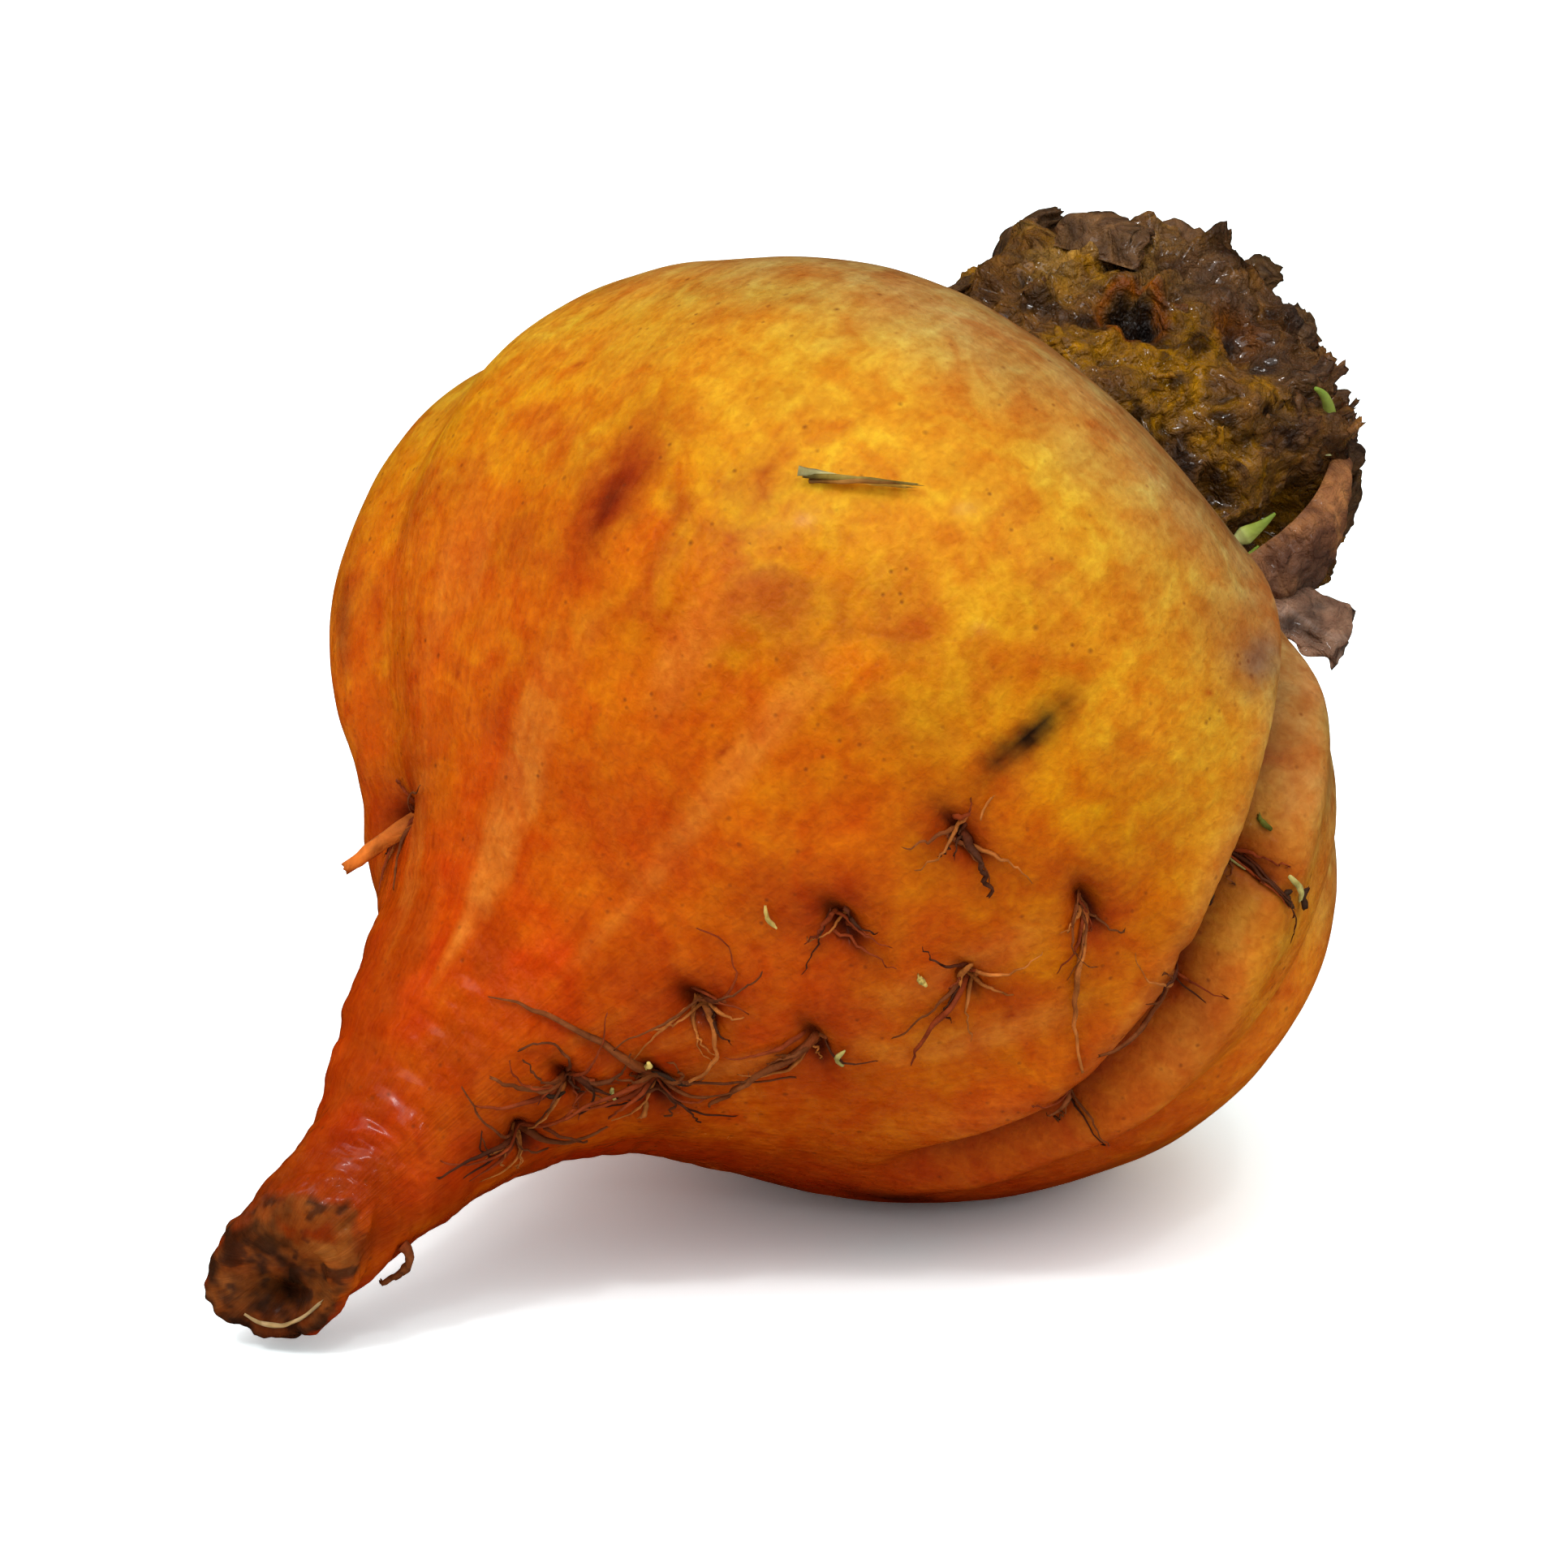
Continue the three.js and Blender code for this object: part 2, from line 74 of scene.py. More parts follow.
# (along, radius) from inside the root, up the waist and round the crown stump
CROWN_OUTLINE = [
    (20, 0), (20, 12), (22, 18.5), (26.5, 20.6), (31, 19.9), (37, 20.6), (43, 20.2), (49, 18),
    (53, 14.5), (54.5, 10), (54.5, 6), (53, 0),
]


def curve_through(points, steps):
    """A smooth line through points: each span is a cubic whose end slopes are half the chord
    between the neighbouring points."""
    points = np.array(points, float)
    last = len(points) - 1
    u = np.linspace(0, 1, steps) * last
    i = np.minimum(u.astype(int), last - 1)
    w = (u - i)[:, None]
    p0, p1, p2, p3 = (points[np.clip(i + k, 0, last)] for k in (-1, 0, 1, 2))
    v0, v1 = (p2 - p0) / 2, (p3 - p1) / 2
    return (2 * p1 - 2 * p2 + v0 + v1) * w**3 + (3 * p2 - 3 * p1 - 2 * v0 - v1) * w**2 + v0 * w + p1


# how finely an outline is drawn, and how many even steps it is then read at
FINE_STEPS, EVEN_STEPS = 6001, 3001


class Outline:
    """A profile line with even length steps, and its outward normal at each step."""

    def __init__(self, points):
        fine = curve_through(points, FINE_STEPS)
        fine[:, 1] = np.maximum(fine[:, 1], 0)
        length = np.concatenate([[0], np.cumsum(np.hypot(*np.diff(fine, axis=0).T))])
        self.length = length[-1]
        self.steps = np.linspace(0, 1, EVEN_STEPS)
        self.along, self.radius = (np.interp(self.steps * self.length, length, fine[:, k]) for k in (0, 1))
        slope_a, slope_r = np.gradient(self.along), np.gradient(self.radius)
        size = np.hypot(slope_a, slope_r)
        self.out_along, self.out_radius = -slope_r / size, slope_a / size
        self.rim = int(self.along.argmin())
        self.far = int(self.along.argmax())

    def at(self, fraction):
        """(along, radius, outward along, outward radius) at fractions of the line's length."""
        parts = (self.along, self.radius, self.out_along, self.out_radius)
        return [np.interp(fraction, self.steps, part) for part in parts]

    def fraction_at(self, along):
        """Where the skin reaches a distance along the axis."""
        rise = slice(self.rim, self.far + 1)
        return np.interp(along, self.along[rise], self.steps[rise])


root_line = Outline(ROOT_OUTLINE)
crown_line = Outline(CROWN_OUTLINE)
print(f"root outline {root_line.length:.0f} mm long, crown outline {crown_line.length:.0f} mm")

# %% [markdown]
# ## Soft randomness
#
# Skin, rot and wrinkles are irregular. Random heights on a cubic lattice, joined by smooth steps,
# give soft hills of one size. Adding the same at half the size and half the height gives a rougher
# surface. Every call has its own seed, so the beet comes out the same each time.

# %% Lattice noise
# the lattice repeats after this many cells, and starts this many cells away, so no place is negative
LATTICE, LATTICE_SHIFT = 32, 500.0


def hills(places, size, seed):
    """Random values from -1 to 1 at places (..., 3): lattice heights joined by 3f^2 - 2f^3."""
    table = np.random.default_rng(seed).uniform(-1, 1, (LATTICE, LATTICE, LATTICE))
    q = places / size + LATTICE_SHIFT
    cell = np.floor(q).astype(int)
    f = q - cell
    f = f * f * (3 - 2 * f)
    total = np.zeros(places.shape[:-1])
    for corner in itertools.product((0, 1), repeat=3):
        weight = np.prod(np.where(np.array(corner) == 1, f, 1 - f), axis=-1)
        i, j, k = ((cell[..., axis] + corner[axis]) % LATTICE for axis in range(3))
        total += weight * table[i, j, k]
    return total


def rough(places, size, seed, layers=3):
    """Hills of several sizes, each layer half the size and half the height of the last."""
    return sum(hills(places, size / 2**k, seed + k) / 2**k for k in range(layers))


def bell(x):
    """1 in the middle, falling to a third at 1."""
    return np.exp(-(x**2))


def smooth(x):
    """0 below 0, 1 above 1, with a smooth rise between."""
    x = np.clip(x, 0, 1)
    return x * x * (3 - 2 * x)


def turn(degrees):
    """The same angle, between -180 and 180 degrees."""
    return (degrees + 180) % 360 - 180


print("hills of 10 mm at the origin:", hills(np.zeros((1, 3)), 10, 1).round(2))

# %% [markdown]
# ## Lobes, creases and pits of the skin
#
# The body isn't round: it has swellings, deep creases between its lobes, pits that the side roots
# grow from, and fine wrinkles across the tail. Each is a bell-shaped hill or hollow added to the
# plain outline, measured straight out of it.

# %% Swellings and creases
# along, around, half length in mm, half width in degrees, height
SWELLS = [
    (-8, 44, 24, 22, 3.8), (-18, 20, 20, 24, 2.2), (4, 78, 20, 22, -1.4), (4, 235, 24, 40, 3.4),
    (-6, 200, 16, 16, 1.0), (6, 150, 26, 26, 1.2), (20, 100, 12, 30, 1.0), (-42, 240, 10, 60, -2.0),
    (-44, 50, 8, 40, 1.2), (-62, 225, 8, 45, -0.8),
]
# start and end as (along, around), bow sideways in degrees, depth, half width in mm, height of lips
CREASES = [
    ((26, 172), (-26, 222), -9, 3.6, 2.6, 0.9),
    ((20, 42), (-38, 46), 8, 1.8, 4.5, 0.2),
    ((22, 20), (-30, 30), -4, 2.0, 3.0, 0.3),
    ((24, 200), (-18, 222), -4, 1.1, 2.6, 0.3),
    ((20, 300), (-22, 310), 0, 1.6, 4.5, 0.2),
]
# a crease fades out over this many millimetres at its ends, and its lips lie this far from its
# middle, in half widths
CREASE_FADE, LIP_DISTANCE = 7, 2.1
# relief dies away where the root is thinner than this
RELIEF_RADIUS = 6


def mound(along, around, middle, angle, length, width):
    """1 at a place, falling away over its half length in mm and its half width in degrees."""
    return bell((along - middle) / length) * bell(turn(around - angle) / width)


def swellings(along, around, table):
    """The sum of a table's swellings."""
    return sum(height * mound(along, around, *shape) for *shape, height in table)


def crease_distance(crease, along, around, radius):
    """Millimetres from a crease's line, measured around the root, and 1 where the crease is there.
    The line runs straight from its start to its end, plus half a sine wave as high as its bow."""
    (crown_end, first_angle), (tail_end, last_angle), bow = crease[:3]
    share = np.clip((crown_end - along) / (crown_end - tail_end), 0, 1)
    middle = first_angle + (last_angle - first_angle) * share + bow * np.sin(math.pi * share)
    across = np.radians(turn(around - middle)) * radius
    there = smooth((along - tail_end) / CREASE_FADE) * smooth((crown_end - along) / CREASE_FADE)
    return across, there


def creases(along, around, radius):
    """Each crease is a bell-shaped hollow with a low rounded lip on both sides."""
    total = np.zeros(along.shape)
    for crease in CREASES:
        depth, width, lip = crease[3:]
        across, there = crease_distance(crease, along, around, radius)
        lips = bell((np.abs(across) - LIP_DISTANCE * width) / width)
        total += there * (lip * lips - depth * bell(across / width))
    return total


print(len(SWELLS), "swellings and", len(CREASES), "creases")

# %% Pits that the side roots grow from
# a beet's side roots grow in two rows on opposite sides. Each row: its first and last place as
# (along, around), how many pits, and how far they stand by turns to each side of it, in degrees
NEAR_ROW = ((-9, 166), (-45, 174), 9, 9)
FAR_ROW = ((-8, 340), (-38, 335), 4, 5)
# a few more grow in the main crease
CREASE_ROW = ((5, 184), (-14, 200), 3, 2)
VALLEY_PIT = (-30, 50)
# half width around, half length along and depth in mm, and how much they vary from pit to pit
PIT_SIZE, PIT_VARIES, PIT_STEP = (2.4, 1.3, 1.3), 0.2, 2.4
# of a pit's depth: the swelling round it, its bowl, and the slit across its middle
PUCKER, BOWL, SLIT = 0.35, 0.8, 0.7


def pit_row(first, last, count, stagger):
    """Places spread evenly from first to last, by turns to the left and right of the row."""
    share = np.linspace(0, 1, count)
    side = stagger * (-1.0) ** np.arange(count)
    along, around = (a + (b - a) * share for a, b in zip(first, last))
    return list(zip(along.tolist(), (around + side).tolist()))


near_pits, far_pits, crease_pits = pit_row(*NEAR_ROW), pit_row(*FAR_ROW), pit_row(*CREASE_ROW)
PIT_PLACES = near_pits + far_pits + crease_pits + [VALLEY_PIT]
PITS = [(*pit, *(size * (1 + PIT_VARIES * math.sin(PIT_STEP * k + i)) for i, size in enumerate(PIT_SIZE)))
        for k, pit in enumerate(PIT_PLACES)]


def pit_shape(along, around, radius, pit, size=1.0, slim=1.0):
    """1 in the middle of a pit, falling away over its two half sizes times size, and along the
    root times slim."""
    a, t, width, length, _ = pit
    across = np.radians(turn(around - t)) * radius
    return bell(across / (width * size)) * bell((along - a) / (length * size * slim))


def pits(along, around, radius):
    """Each pit is a bowl with a slit across its middle, inside a wider, lower swelling, as skin
    puckers round a side root."""
    total = np.zeros(along.shape)
    for pit in PITS:
        pucker = pit_shape(along, around, radius, pit, 2.2)
        bowl = pit_shape(along, around, radius, pit)
        slit = pit_shape(along, around, radius, pit, 0.8, 0.5)
        total += pit[4] * (PUCKER * pucker - BOWL * bowl - SLIT * slit)
    return total


print(len(PITS), "pits")

# %% [markdown]
# ## Wrinkles
#
# Towards the tail the skin is wrinkled across the root, like a sleeve pushed up, and fluted along
# it. Noise makes both: stretching the lattice around the root gives cross wrinkles, and stretching
# it along the root gives flutes. The angle goes in as a cosine and a sine, so there is no seam.

# %% Wrinkles and unevenness
# height in mm, size along in mm, how many units go round, and seed
FINE_WRINKLES, COARSE_WRINKLES, FLUTES = (0.24, 1.9, 1.6, 11), (0.5, 6, 1.5, 12), (0.45, 22, 2.6, 21)
# height and size in mm, and seed
DENTS = [(0.42, 15, 31), (0.14, 6, 32), (0.035, 2.4, 33)]


def stretched(along, around, along_size, around_count):
    """Noise coordinates on the skin: distance along in units of along_size, and the angle as a
    circle of around_count units."""
    angle = np.radians(around)
    return np.stack([along / along_size, around_count * np.cos(angle), around_count * np.sin(angle)], -1)


def wrinkles(along, around):
    """Cross wrinkles that deepen towards the tail, and flutes where the body narrows to it."""

    def layer(noise, height, along_size, around_count, seed):
        """Noise on the skin's own coordinates, times its height."""
        return height * noise(stretched(along, around, along_size, around_count), 1.0, seed)

    tail = smooth((-16 - along) / 26)
    cross = layer(rough, *FINE_WRINKLES) * tail + layer(hills, *COARSE_WRINKLES) * tail
    return cross + layer(hills, *FLUTES) * smooth((4 - along) / 22) * smooth((along + 62) / 18)


def unevenness(places):
    """Slight dents and bumps of the whole skin, of 15, 6 and 2.4 mm."""
    return sum(height * hills(places, size, seed) for height, size, seed in DENTS)


print("wrinkles at one place on the tail, mm:", wrinkles(np.array([-50.0]), np.array([90.0])).round(2))

# %% [markdown]
# ## From the formula to points
#
# One function turns places on an outline into points in space. The tail bends a little to one side
# and its cut end slants, so the last stretch is moved. The belly is pressed flat where it rests.

# %% Points on the root
TAIL_BEND = {"start": -26, "scale": 36, "side": 2.4, "up": 0.2}
TAIL_BOW = {"middle": -45, "length": 15, "side": 0.8, "up": 0.9}
CUT_HOLE = {"around": 290, "width": 60, "out": 1.9, "reach": 1.2, "depth": 4.2}
# how far out of its middle the cut's torn flesh ends, and over how many millimetres
CUT_FLESH, CUT_FLESH_FADE = 6.0, 2.5
# heights in mm: its lumps, its three bulges, its grit, and how far it all stands out
CUT_LUMPS, CUT_BULGES, CUT_GRIT, CUT_OUT = 0.5, 0.25, 0.15, 0.5
TAIL_CUT = {"around": 318, "slope": 0.85, "start": -50, "full": -62}


def tail_shift(along, around, radius):
    """How far the slanting cut moves a point along the axis, and how far the tail's bend and bow
    move it to the side and up."""
    slant = smooth((TAIL_CUT["start"] - along) / (TAIL_CUT["start"] - TAIL_CUT["full"]))
    cut = TAIL_CUT["slope"] * radius * np.cos(np.radians(around - TAIL_CUT["around"])) * slant
    bend = np.maximum((TAIL_BEND["start"] - along) / TAIL_BEND["scale"], 0) ** 2
    bow = bell((along - TAIL_BOW["middle"]) / TAIL_BOW["length"])
    aside, upward = (TAIL_BEND[way] * bend + TAIL_BOW[way] * bow for way in ("side", "up"))
    return cut, aside, upward


def place(line, fraction, around, height):
    """Points at a fraction of an outline and an angle, raised by height along the outline's normal.
    point = centre + (along) axis + (radius cos angle) side + (radius sin angle) top."""
    along, radius, out_along, out_radius = line.at(fraction)
    height = height * np.clip(radius / RELIEF_RADIUS, 0, 1)
    r = radius + height * out_radius
    cut, aside, upward = tail_shift(along, around, r)
    a = along + height * out_along - cut
    angle = np.radians(around)
    return (
        WIDEST_RING
        + a[..., None] * AXIS
        + (r * np.cos(angle) + aside)[..., None] * SIDE
        + (r * np.sin(angle) + upward)[..., None] * TOP
    )


def skin_height(along, around, radius, plain):
    """Everything that stands out of, or goes into, the plain outline of the body."""
    return (
        swellings(along, around, SWELLS) + creases(along, around, radius) + pits(along, around, radius)
        + wrinkles(along, around) + unevenness(plain)
    )


def cut_hole(length, around):
    """1 in the hole of the cut end, where length is the distance from its middle."""
    return mound(length, around, CUT_HOLE["out"], CUT_HOLE["around"], CUT_HOLE["reach"], CUT_HOLE["width"])


def cut_end(around, fraction):
    """The torn flesh of the cut tail: lumps and strands in the hollow, a hole, and a ragged rim."""
    angle = np.radians(around)
    length = fraction * root_line.length
    inside = 1 - smooth((length - CUT_FLESH) / CUT_FLESH_FADE)
    face = np.stack([length * np.cos(angle), length * np.sin(angle), np.zeros(length.shape)], -1)
    lumps = CUT_LUMPS * rough(face, 2.6, 41) + CUT_BULGES * np.sin(3 * angle + 1)
    grit = CUT_GRIT * rough(face, 0.9, 42)
    return inside * (lumps + grit + CUT_OUT - CUT_HOLE["depth"] * cut_hole(length, around))


def skin(fraction, around, lift=0.0):
    """Points on the body's skin, or lifted off it by some millimetres."""
    fraction, around = np.broadcast_arrays(np.asarray(fraction, float), np.asarray(around, float))
    along, radius, _, _ = root_line.at(fraction)
    plain = place(root_line, fraction, around, np.zeros(fraction.shape))
    height = skin_height(along, around, radius, plain) + cut_end(around, fraction)
    points = place(root_line, fraction, around, height + lift)
    points[..., 2] = np.maximum(points[..., 2], 0)
    return points


def on_skin(spots):
    """Points from (along, around, lift) on the body."""
    along, around, lift = np.array(spots, float).T
    return skin(root_line.fraction_at(along), around, lift)


print("a point on the belly:", np.round(on_skin([(8, 262, 0)])[0], 1))

# %% [markdown]
# ## From points to a mesh
#
# A closed surface is a grid of rings. Its first and last ring shrink to one point each, so the
# seam joins itself and both poles are closed. The faces run so that they point outwards.

# %% Meshes from grids


def ring_faces(rings, count, start=0):
    """Faces of a closed grid: a pole, rings of count points, a pole. Quads between the rings are
    split by Blender, and a fan of triangles closes each pole."""
    i, j = np.meshgrid(np.arange(rings - 1), np.arange(count), indexing="ij")
    first = start + 1
    a, b = first + i * count + j, first + i * count + (j + 1) % count
    quads = np.stack([a, b, b + count, a + count], -1).reshape(-1, 4)
    j = np.arange(count)
    near, far = first + j, first + (rings - 1) * count + j
    near_next, far_next = first + (j + 1) % count, first + (rings - 1) * count + (j + 1) % count
    pole = first + rings * count
    fan_start = np.stack([np.full(count, start), near_next, near], -1)
    fan_end = np.stack([np.full(count, pole), far, far_next], -1)
    return quads, np.concatenate([fan_start, fan_end])


def closed_points(grid):
    """A grid's points as one list: the first row as one pole, the rings, the last row as a pole."""
    return np.concatenate([grid[0].mean(0)[None], grid[1:-1].reshape(-1, 3), grid[-1].mean(0)[None]])


def capped(grid, first, last):
    """A grid with one more row at each end, all of it at one point, which closes it."""
    first, last = (np.broadcast_to(point, grid[:1].shape) for point in (first, last))
    return np.concatenate([first, grid, last])


def build_mesh(name, grids):
    """One mesh from closed grids of points in millimetres, each (rows, columns, 3)."""
    points, quads, tris, start = [], [], [], 0
    for grid in grids:
        q, t = ring_faces(len(grid) - 2, grid.shape[1], start)
        points.append(closed_points(grid))
        quads.append(q)
        tris.append(t)
        start += len(points[-1])
    points, quads, tris = (np.concatenate(x) for x in (points, quads, tris))
    loops = np.concatenate([quads.ravel(), tris.ravel()])
    sizes = np.concatenate([np.full(len(quads), 4), np.full(len(tris), 3)])
    mesh = bpy.data.meshes.new(name)
    mesh.vertices.add(len(points))
    mesh.vertices.foreach_set("co", (points * MM).astype(np.float32).ravel())
    mesh.loops.add(len(loops))
    mesh.loops.foreach_set("vertex_index", loops.astype(np.int32))
    mesh.polygons.add(len(sizes))
    mesh.polygons.foreach_set("loop_start", np.concatenate([[0], np.cumsum(sizes)[:-1]]).astype(np.int32))
    mesh.polygons.foreach_set("use_smooth", np.ones(len(sizes), bool))
    mesh.update(calc_edges=True)
    mesh.validate()
    return mesh


def paint(mesh, name, values):
    """Stores a value or a colour for every point, for the materials to read."""
    kind, field = ("FLOAT_COLOR", "color") if values.ndim == 2 else ("FLOAT", "value")
    layer = mesh.attributes.new(name, kind, "POINT")
    if values.ndim == 2:
        values = np.concatenate([values, np.ones((len(values), 1))], 1)
    layer.data.foreach_set(field, values.astype(np.float32).ravel())


def put(name, data):
    """A mesh, a lamp or a camera as an object of the scene."""
    item = bpy.data.objects.new(name, data)
    bpy.context.scene.collection.objects.link(item)
    return item


def show(name, mesh, material, slot, *nodes):
    """Puts a mesh in the scene as a piece that rides with the root and stands for some nodes."""
    mesh.materials.append(material)
    piece = put(name, mesh)
    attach(piece, "root")
    if nodes:
        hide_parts(*nodes)
    triangles = sum(len(p.vertices) - 2 for p in mesh.polygons)
    print(f"{name}: {triangles} triangles")
    return piece


# %% [markdown]
# ## Helpers for materials
#
# A material is a small network of nodes. Writing each node as one call, with its inputs as values
# or as other nodes' outputs, keeps the network readable. Colours are written the way a paint chart
# gives them and turned into the linear light that Blender counts in.

# %% Nodes and colours


def paint_colour(red, green, blue):
    """A colour from 0 to 255 per channel, as linear light: ((c + 0.055) / 1.055) ^ 2.4."""
    c = np.array([red, green, blue], float) / 255
    return np.where(c <= 0.04045, c / 12.92, ((c + 0.055) / 1.055) ** 2.4)


def rgba(red, green, blue):
    """The same colour with full opacity, as a socket wants it."""
    return (*paint_colour(red, green, blue), 1.0)


def add(tree, kind, inputs=None, **settings):
    """Adds a node, sets it up, and fills or joins its inputs."""
    made = tree.nodes.new(kind)
    for name, value in settings.items():
        setattr(made, name, value)
    for key, value in (inputs or {}).items():
        if isinstance(value, bpy.types.NodeSocket):
            tree.links.new(value, made.inputs[key])
        else:
            made.inputs[key].default_value = value
    return made


def math_node(tree, operation, a, b=0.0, clamp=False):
    """One operation on two values, cut off at 0 and 1 where clamp is set."""
    return add(tree, "ShaderNodeMath", {0: a, 1: b}, operation=operation, use_clamp=clamp).outputs[0]


def scaled(tree, value, factor, plus):
    """value * factor + plus."""
    inputs = {0: value, 1: factor, 2: plus}
    return add(tree, "ShaderNodeMath", inputs, operation="MULTIPLY_ADD").outputs[0]


def weighted_sum(tree, *terms):
    """The sum of masks, each times its weight."""
    total = 0.0
    for mask, weight in terms:
        total = math_node(tree, "ADD", total, math_node(tree, "MULTIPLY", mask, weight))
    return total


def blend(tree, factor, a, b, mode="MIX"):
    """Mixes two colours by a mask."""
    mix = add(tree, "ShaderNodeMix", data_type="RGBA", blend_type=mode)
    for key, value in (("Factor", factor), ("A", a), ("B", b)):
        kind = "VALUE" if key == "Factor" else "RGBA"
        socket = next(s for s in mix.inputs if s.name == key and s.type == kind)
        if isinstance(value, bpy.types.NodeSocket):
            tree.links.new(value, socket)
        else:
            socket.default_value = value
    return next(s for s in mix.outputs if s.type == "RGBA")


def attribute(tree, name, output="Fac"):
    """A value, colour or vector that is stored on the mesh."""
    return add(tree, "ShaderNodeAttribute", attribute_name=name).outputs[output]


print("middle grey as linear light:", paint_colour(128, 128, 128).round(3))

# %% [markdown]
# ## Effects that several finishes share
#
# Soft blotches, and streaks that run one way, come back on almost every surface of the beet. Small
# dark pores come back in two sizes on its skin. Each effect is made once as a node group with named
# inputs, and each finish places it with its own sizes.

# %% Shared node groups


def new_group(name, **inputs):
    """An empty shader node group: a vector and the named numbers or vectors in, a mask out."""
    tree = bpy.data.node_groups.new(name, "ShaderNodeTree")
    tree.interface.new_socket("Vector", in_out="INPUT", socket_type="NodeSocketVector")
    for label, value in inputs.items():
        kind = "NodeSocketVector" if isinstance(value, tuple) else "NodeSocketFloat"
        tree.interface.new_socket(label, in_out="INPUT", socket_type=kind).default_value = value
    tree.interface.new_socket("Mask", in_out="OUTPUT", socket_type="NodeSocketFloat")
    return tree, add(tree, "NodeGroupInput").outputs, add(tree, "NodeGroupOutput").inputs


def sharpen(tree, noise, sharpness, out):
    """Joins noise, pushed away from its middle by a sharpness, to a group's output."""
    centred = math_node(tree, "SUBTRACT", noise.outputs["Fac"], 0.5)
    pushed = math_node(tree, "MULTIPLY", centred, sharpness)
    tree.links.new(math_node(tree, "ADD", pushed, 0.5, clamp=True), out["Mask"])


def blotches_group():
    """Noise of one size, pushed towards 0 and 1 by a sharpness."""
    tree, given, out = new_group("soft_blotches", Size=0.005, Detail=3.0, Sharpness=2.0, Warp=0.5)
    scale = math_node(tree, "DIVIDE", 1.0, given["Size"])
    noise = add(tree, "ShaderNodeTexNoise", {
        "Vector": given["Vector"], "Scale": scale, "Detail": given["Detail"], "Distortion": given["Warp"]})
    sharpen(tree, noise, given["Sharpness"], out)
    return tree


def pores_group():
    """Small round dots: near a cell's point the mask is 1, and only a share of the cells have one."""
    tree, given, out = new_group("small_pores", Spacing=0.001, Radius=0.2, Share=0.3)
    scale = math_node(tree, "DIVIDE", 1.0, given["Spacing"])
    cells = add(tree, "ShaderNodeTexVoronoi", {"Vector": given["Vector"], "Scale": scale})
    distance = math_node(tree, "DIVIDE", cells.outputs["Distance"], given["Radius"])
    near = math_node(tree, "SUBTRACT", 1.0, distance, clamp=True)
    random = add(tree, "ShaderNodeSeparateColor", {"Color": cells.outputs["Color"]}).outputs[0]
    chosen = math_node(tree, "LESS_THAN", random, given["Share"])
    tree.links.new(math_node(tree, "MULTIPLY", near, chosen), out["Mask"])
    return tree


def streaks_group():
    """Noise on stretched coordinates: fine across, long the other way."""
    tree, given, out = new_group("long_streaks", Squeeze=(1, 1, 1), Scale=10.0, Sharpness=2.0)
    squeezed = add(tree, "ShaderNodeVectorMath", {0: given["Vector"], 1: given["Squeeze"]},
                   operation="MULTIPLY")
    noise = add(tree, "ShaderNodeTexNoise", {
        "Vector": squeezed.outputs[0], "Scale": given["Scale"], "Detail": 4.0, "Distortion": 0.3})
    sharpen(tree, noise, given["Sharpness"], out)
    return tree


BLOTCHES, PORES, STREAKS = blotches_group(), pores_group(), streaks_group()
print("shared groups:", [g.name for g in (BLOTCHES, PORES, STREAKS)])


# %% Helpers for finishes
def use(tree, group, **inputs):
    """Places a shared group and gives its mask."""
    inputs = {name.capitalize(): value for name, value in inputs.items()}
    return add(tree, "ShaderNodeGroup", inputs, node_tree=group).outputs["Mask"]


def object_place(tree):
    """The place of a point in metres, in the frame that all pieces share."""
    return add(tree, "ShaderNodeTexCoord").outputs["Object"]


def new_finish(name, **sockets):
    """A material with a Principled shader whose constant sockets are set here."""
    material = bpy.data.materials.new(name)
    material.use_nodes = True
    tree = material.node_tree
    shader = tree.nodes["Principled BSDF"]
    for label, value in sockets.items():
        shader.inputs[label.replace("_", " ")].default_value = value
    return material, tree, shader


def bump(tree, shader, height, depth, strength=1.0):
    """Small relief of a given depth in metres, joined to the shader's normal."""
    made = add(tree, "ShaderNodeBump", {"Height": height, "Distance": depth, "Strength": strength})
    tree.links.new(made.outputs[0], shader.inputs["Normal"])


print("helpers for finishes:", [f.__name__ for f in (use, object_place, new_finish, bump)])

# %% [markdown]
# ## The colours of the skin
#
# A golden beet's skin is never one colour. It is olive and tan near the crown, amber over the
# shoulder, orange on the body and red-orange on the tail, and soft patches of neighbouring colours
# run into each other as in a watercolour. The zones and the larger patches are worked out for every
# point of the mesh and stored as a colour. The material then adds what is finer than the mesh.

# %% Colour zones and patches of the skin
# along, colour: the ground colour from the crown to the tail
ZONES = [
    (27, (122, 84, 50)), (18, (164, 118, 58)), (7, (194, 132, 32)), (-4, (200, 124, 14)),
    (-18, (202, 98, 8)), (-36, (196, 76, 6)), (-52, (174, 60, 6)), (-64, (100, 46, 20)),
]
# among these tones, the pale pink is a painted sheen, the crease red is painted shade, and the red underneath
# is partly painted shade
AMBER, OLIVE, RUST, GOLD = (220, 154, 32), (164, 92, 22), (150, 48, 10), (210, 118, 40)
RED_CLOUD, BACK_ORANGE, PIT_BLACK, CREASE_SHADE_RED = (182, 76, 16), (216, 106, 20), (50, 18, 10), (96, 30, 12)
PAINTED_PINK_SHEEN, UNDER_RED_AND_SHADE, SMOKE, BLOOM = (214, 136, 84), (156, 42, 6), (34, 22, 16), (172, 132, 74)
# a few single marks: name, along, around, half length in mm, half width in degrees, colour, strength
MARKS = [
    ("sore", -10, 97, 5, 3.5, RUST, 1.0),
    ("dark middle of the sore", -11, 97, 2.4, 1.4, (104, 34, 12), 0.9),
    ("smoke streak", -6, 154, 4, 1.8, SMOKE, 1.0),
    ("bruise by the crease", 13, 167, 3, 3, (104, 72, 60), 0.8),
    ("rubbed patch on the belly", -22, 238, 3, 5, SMOKE, 0.8),
    ("graze in the valley", -18, 42, 3, 2, (124, 56, 28), 0.7),
]


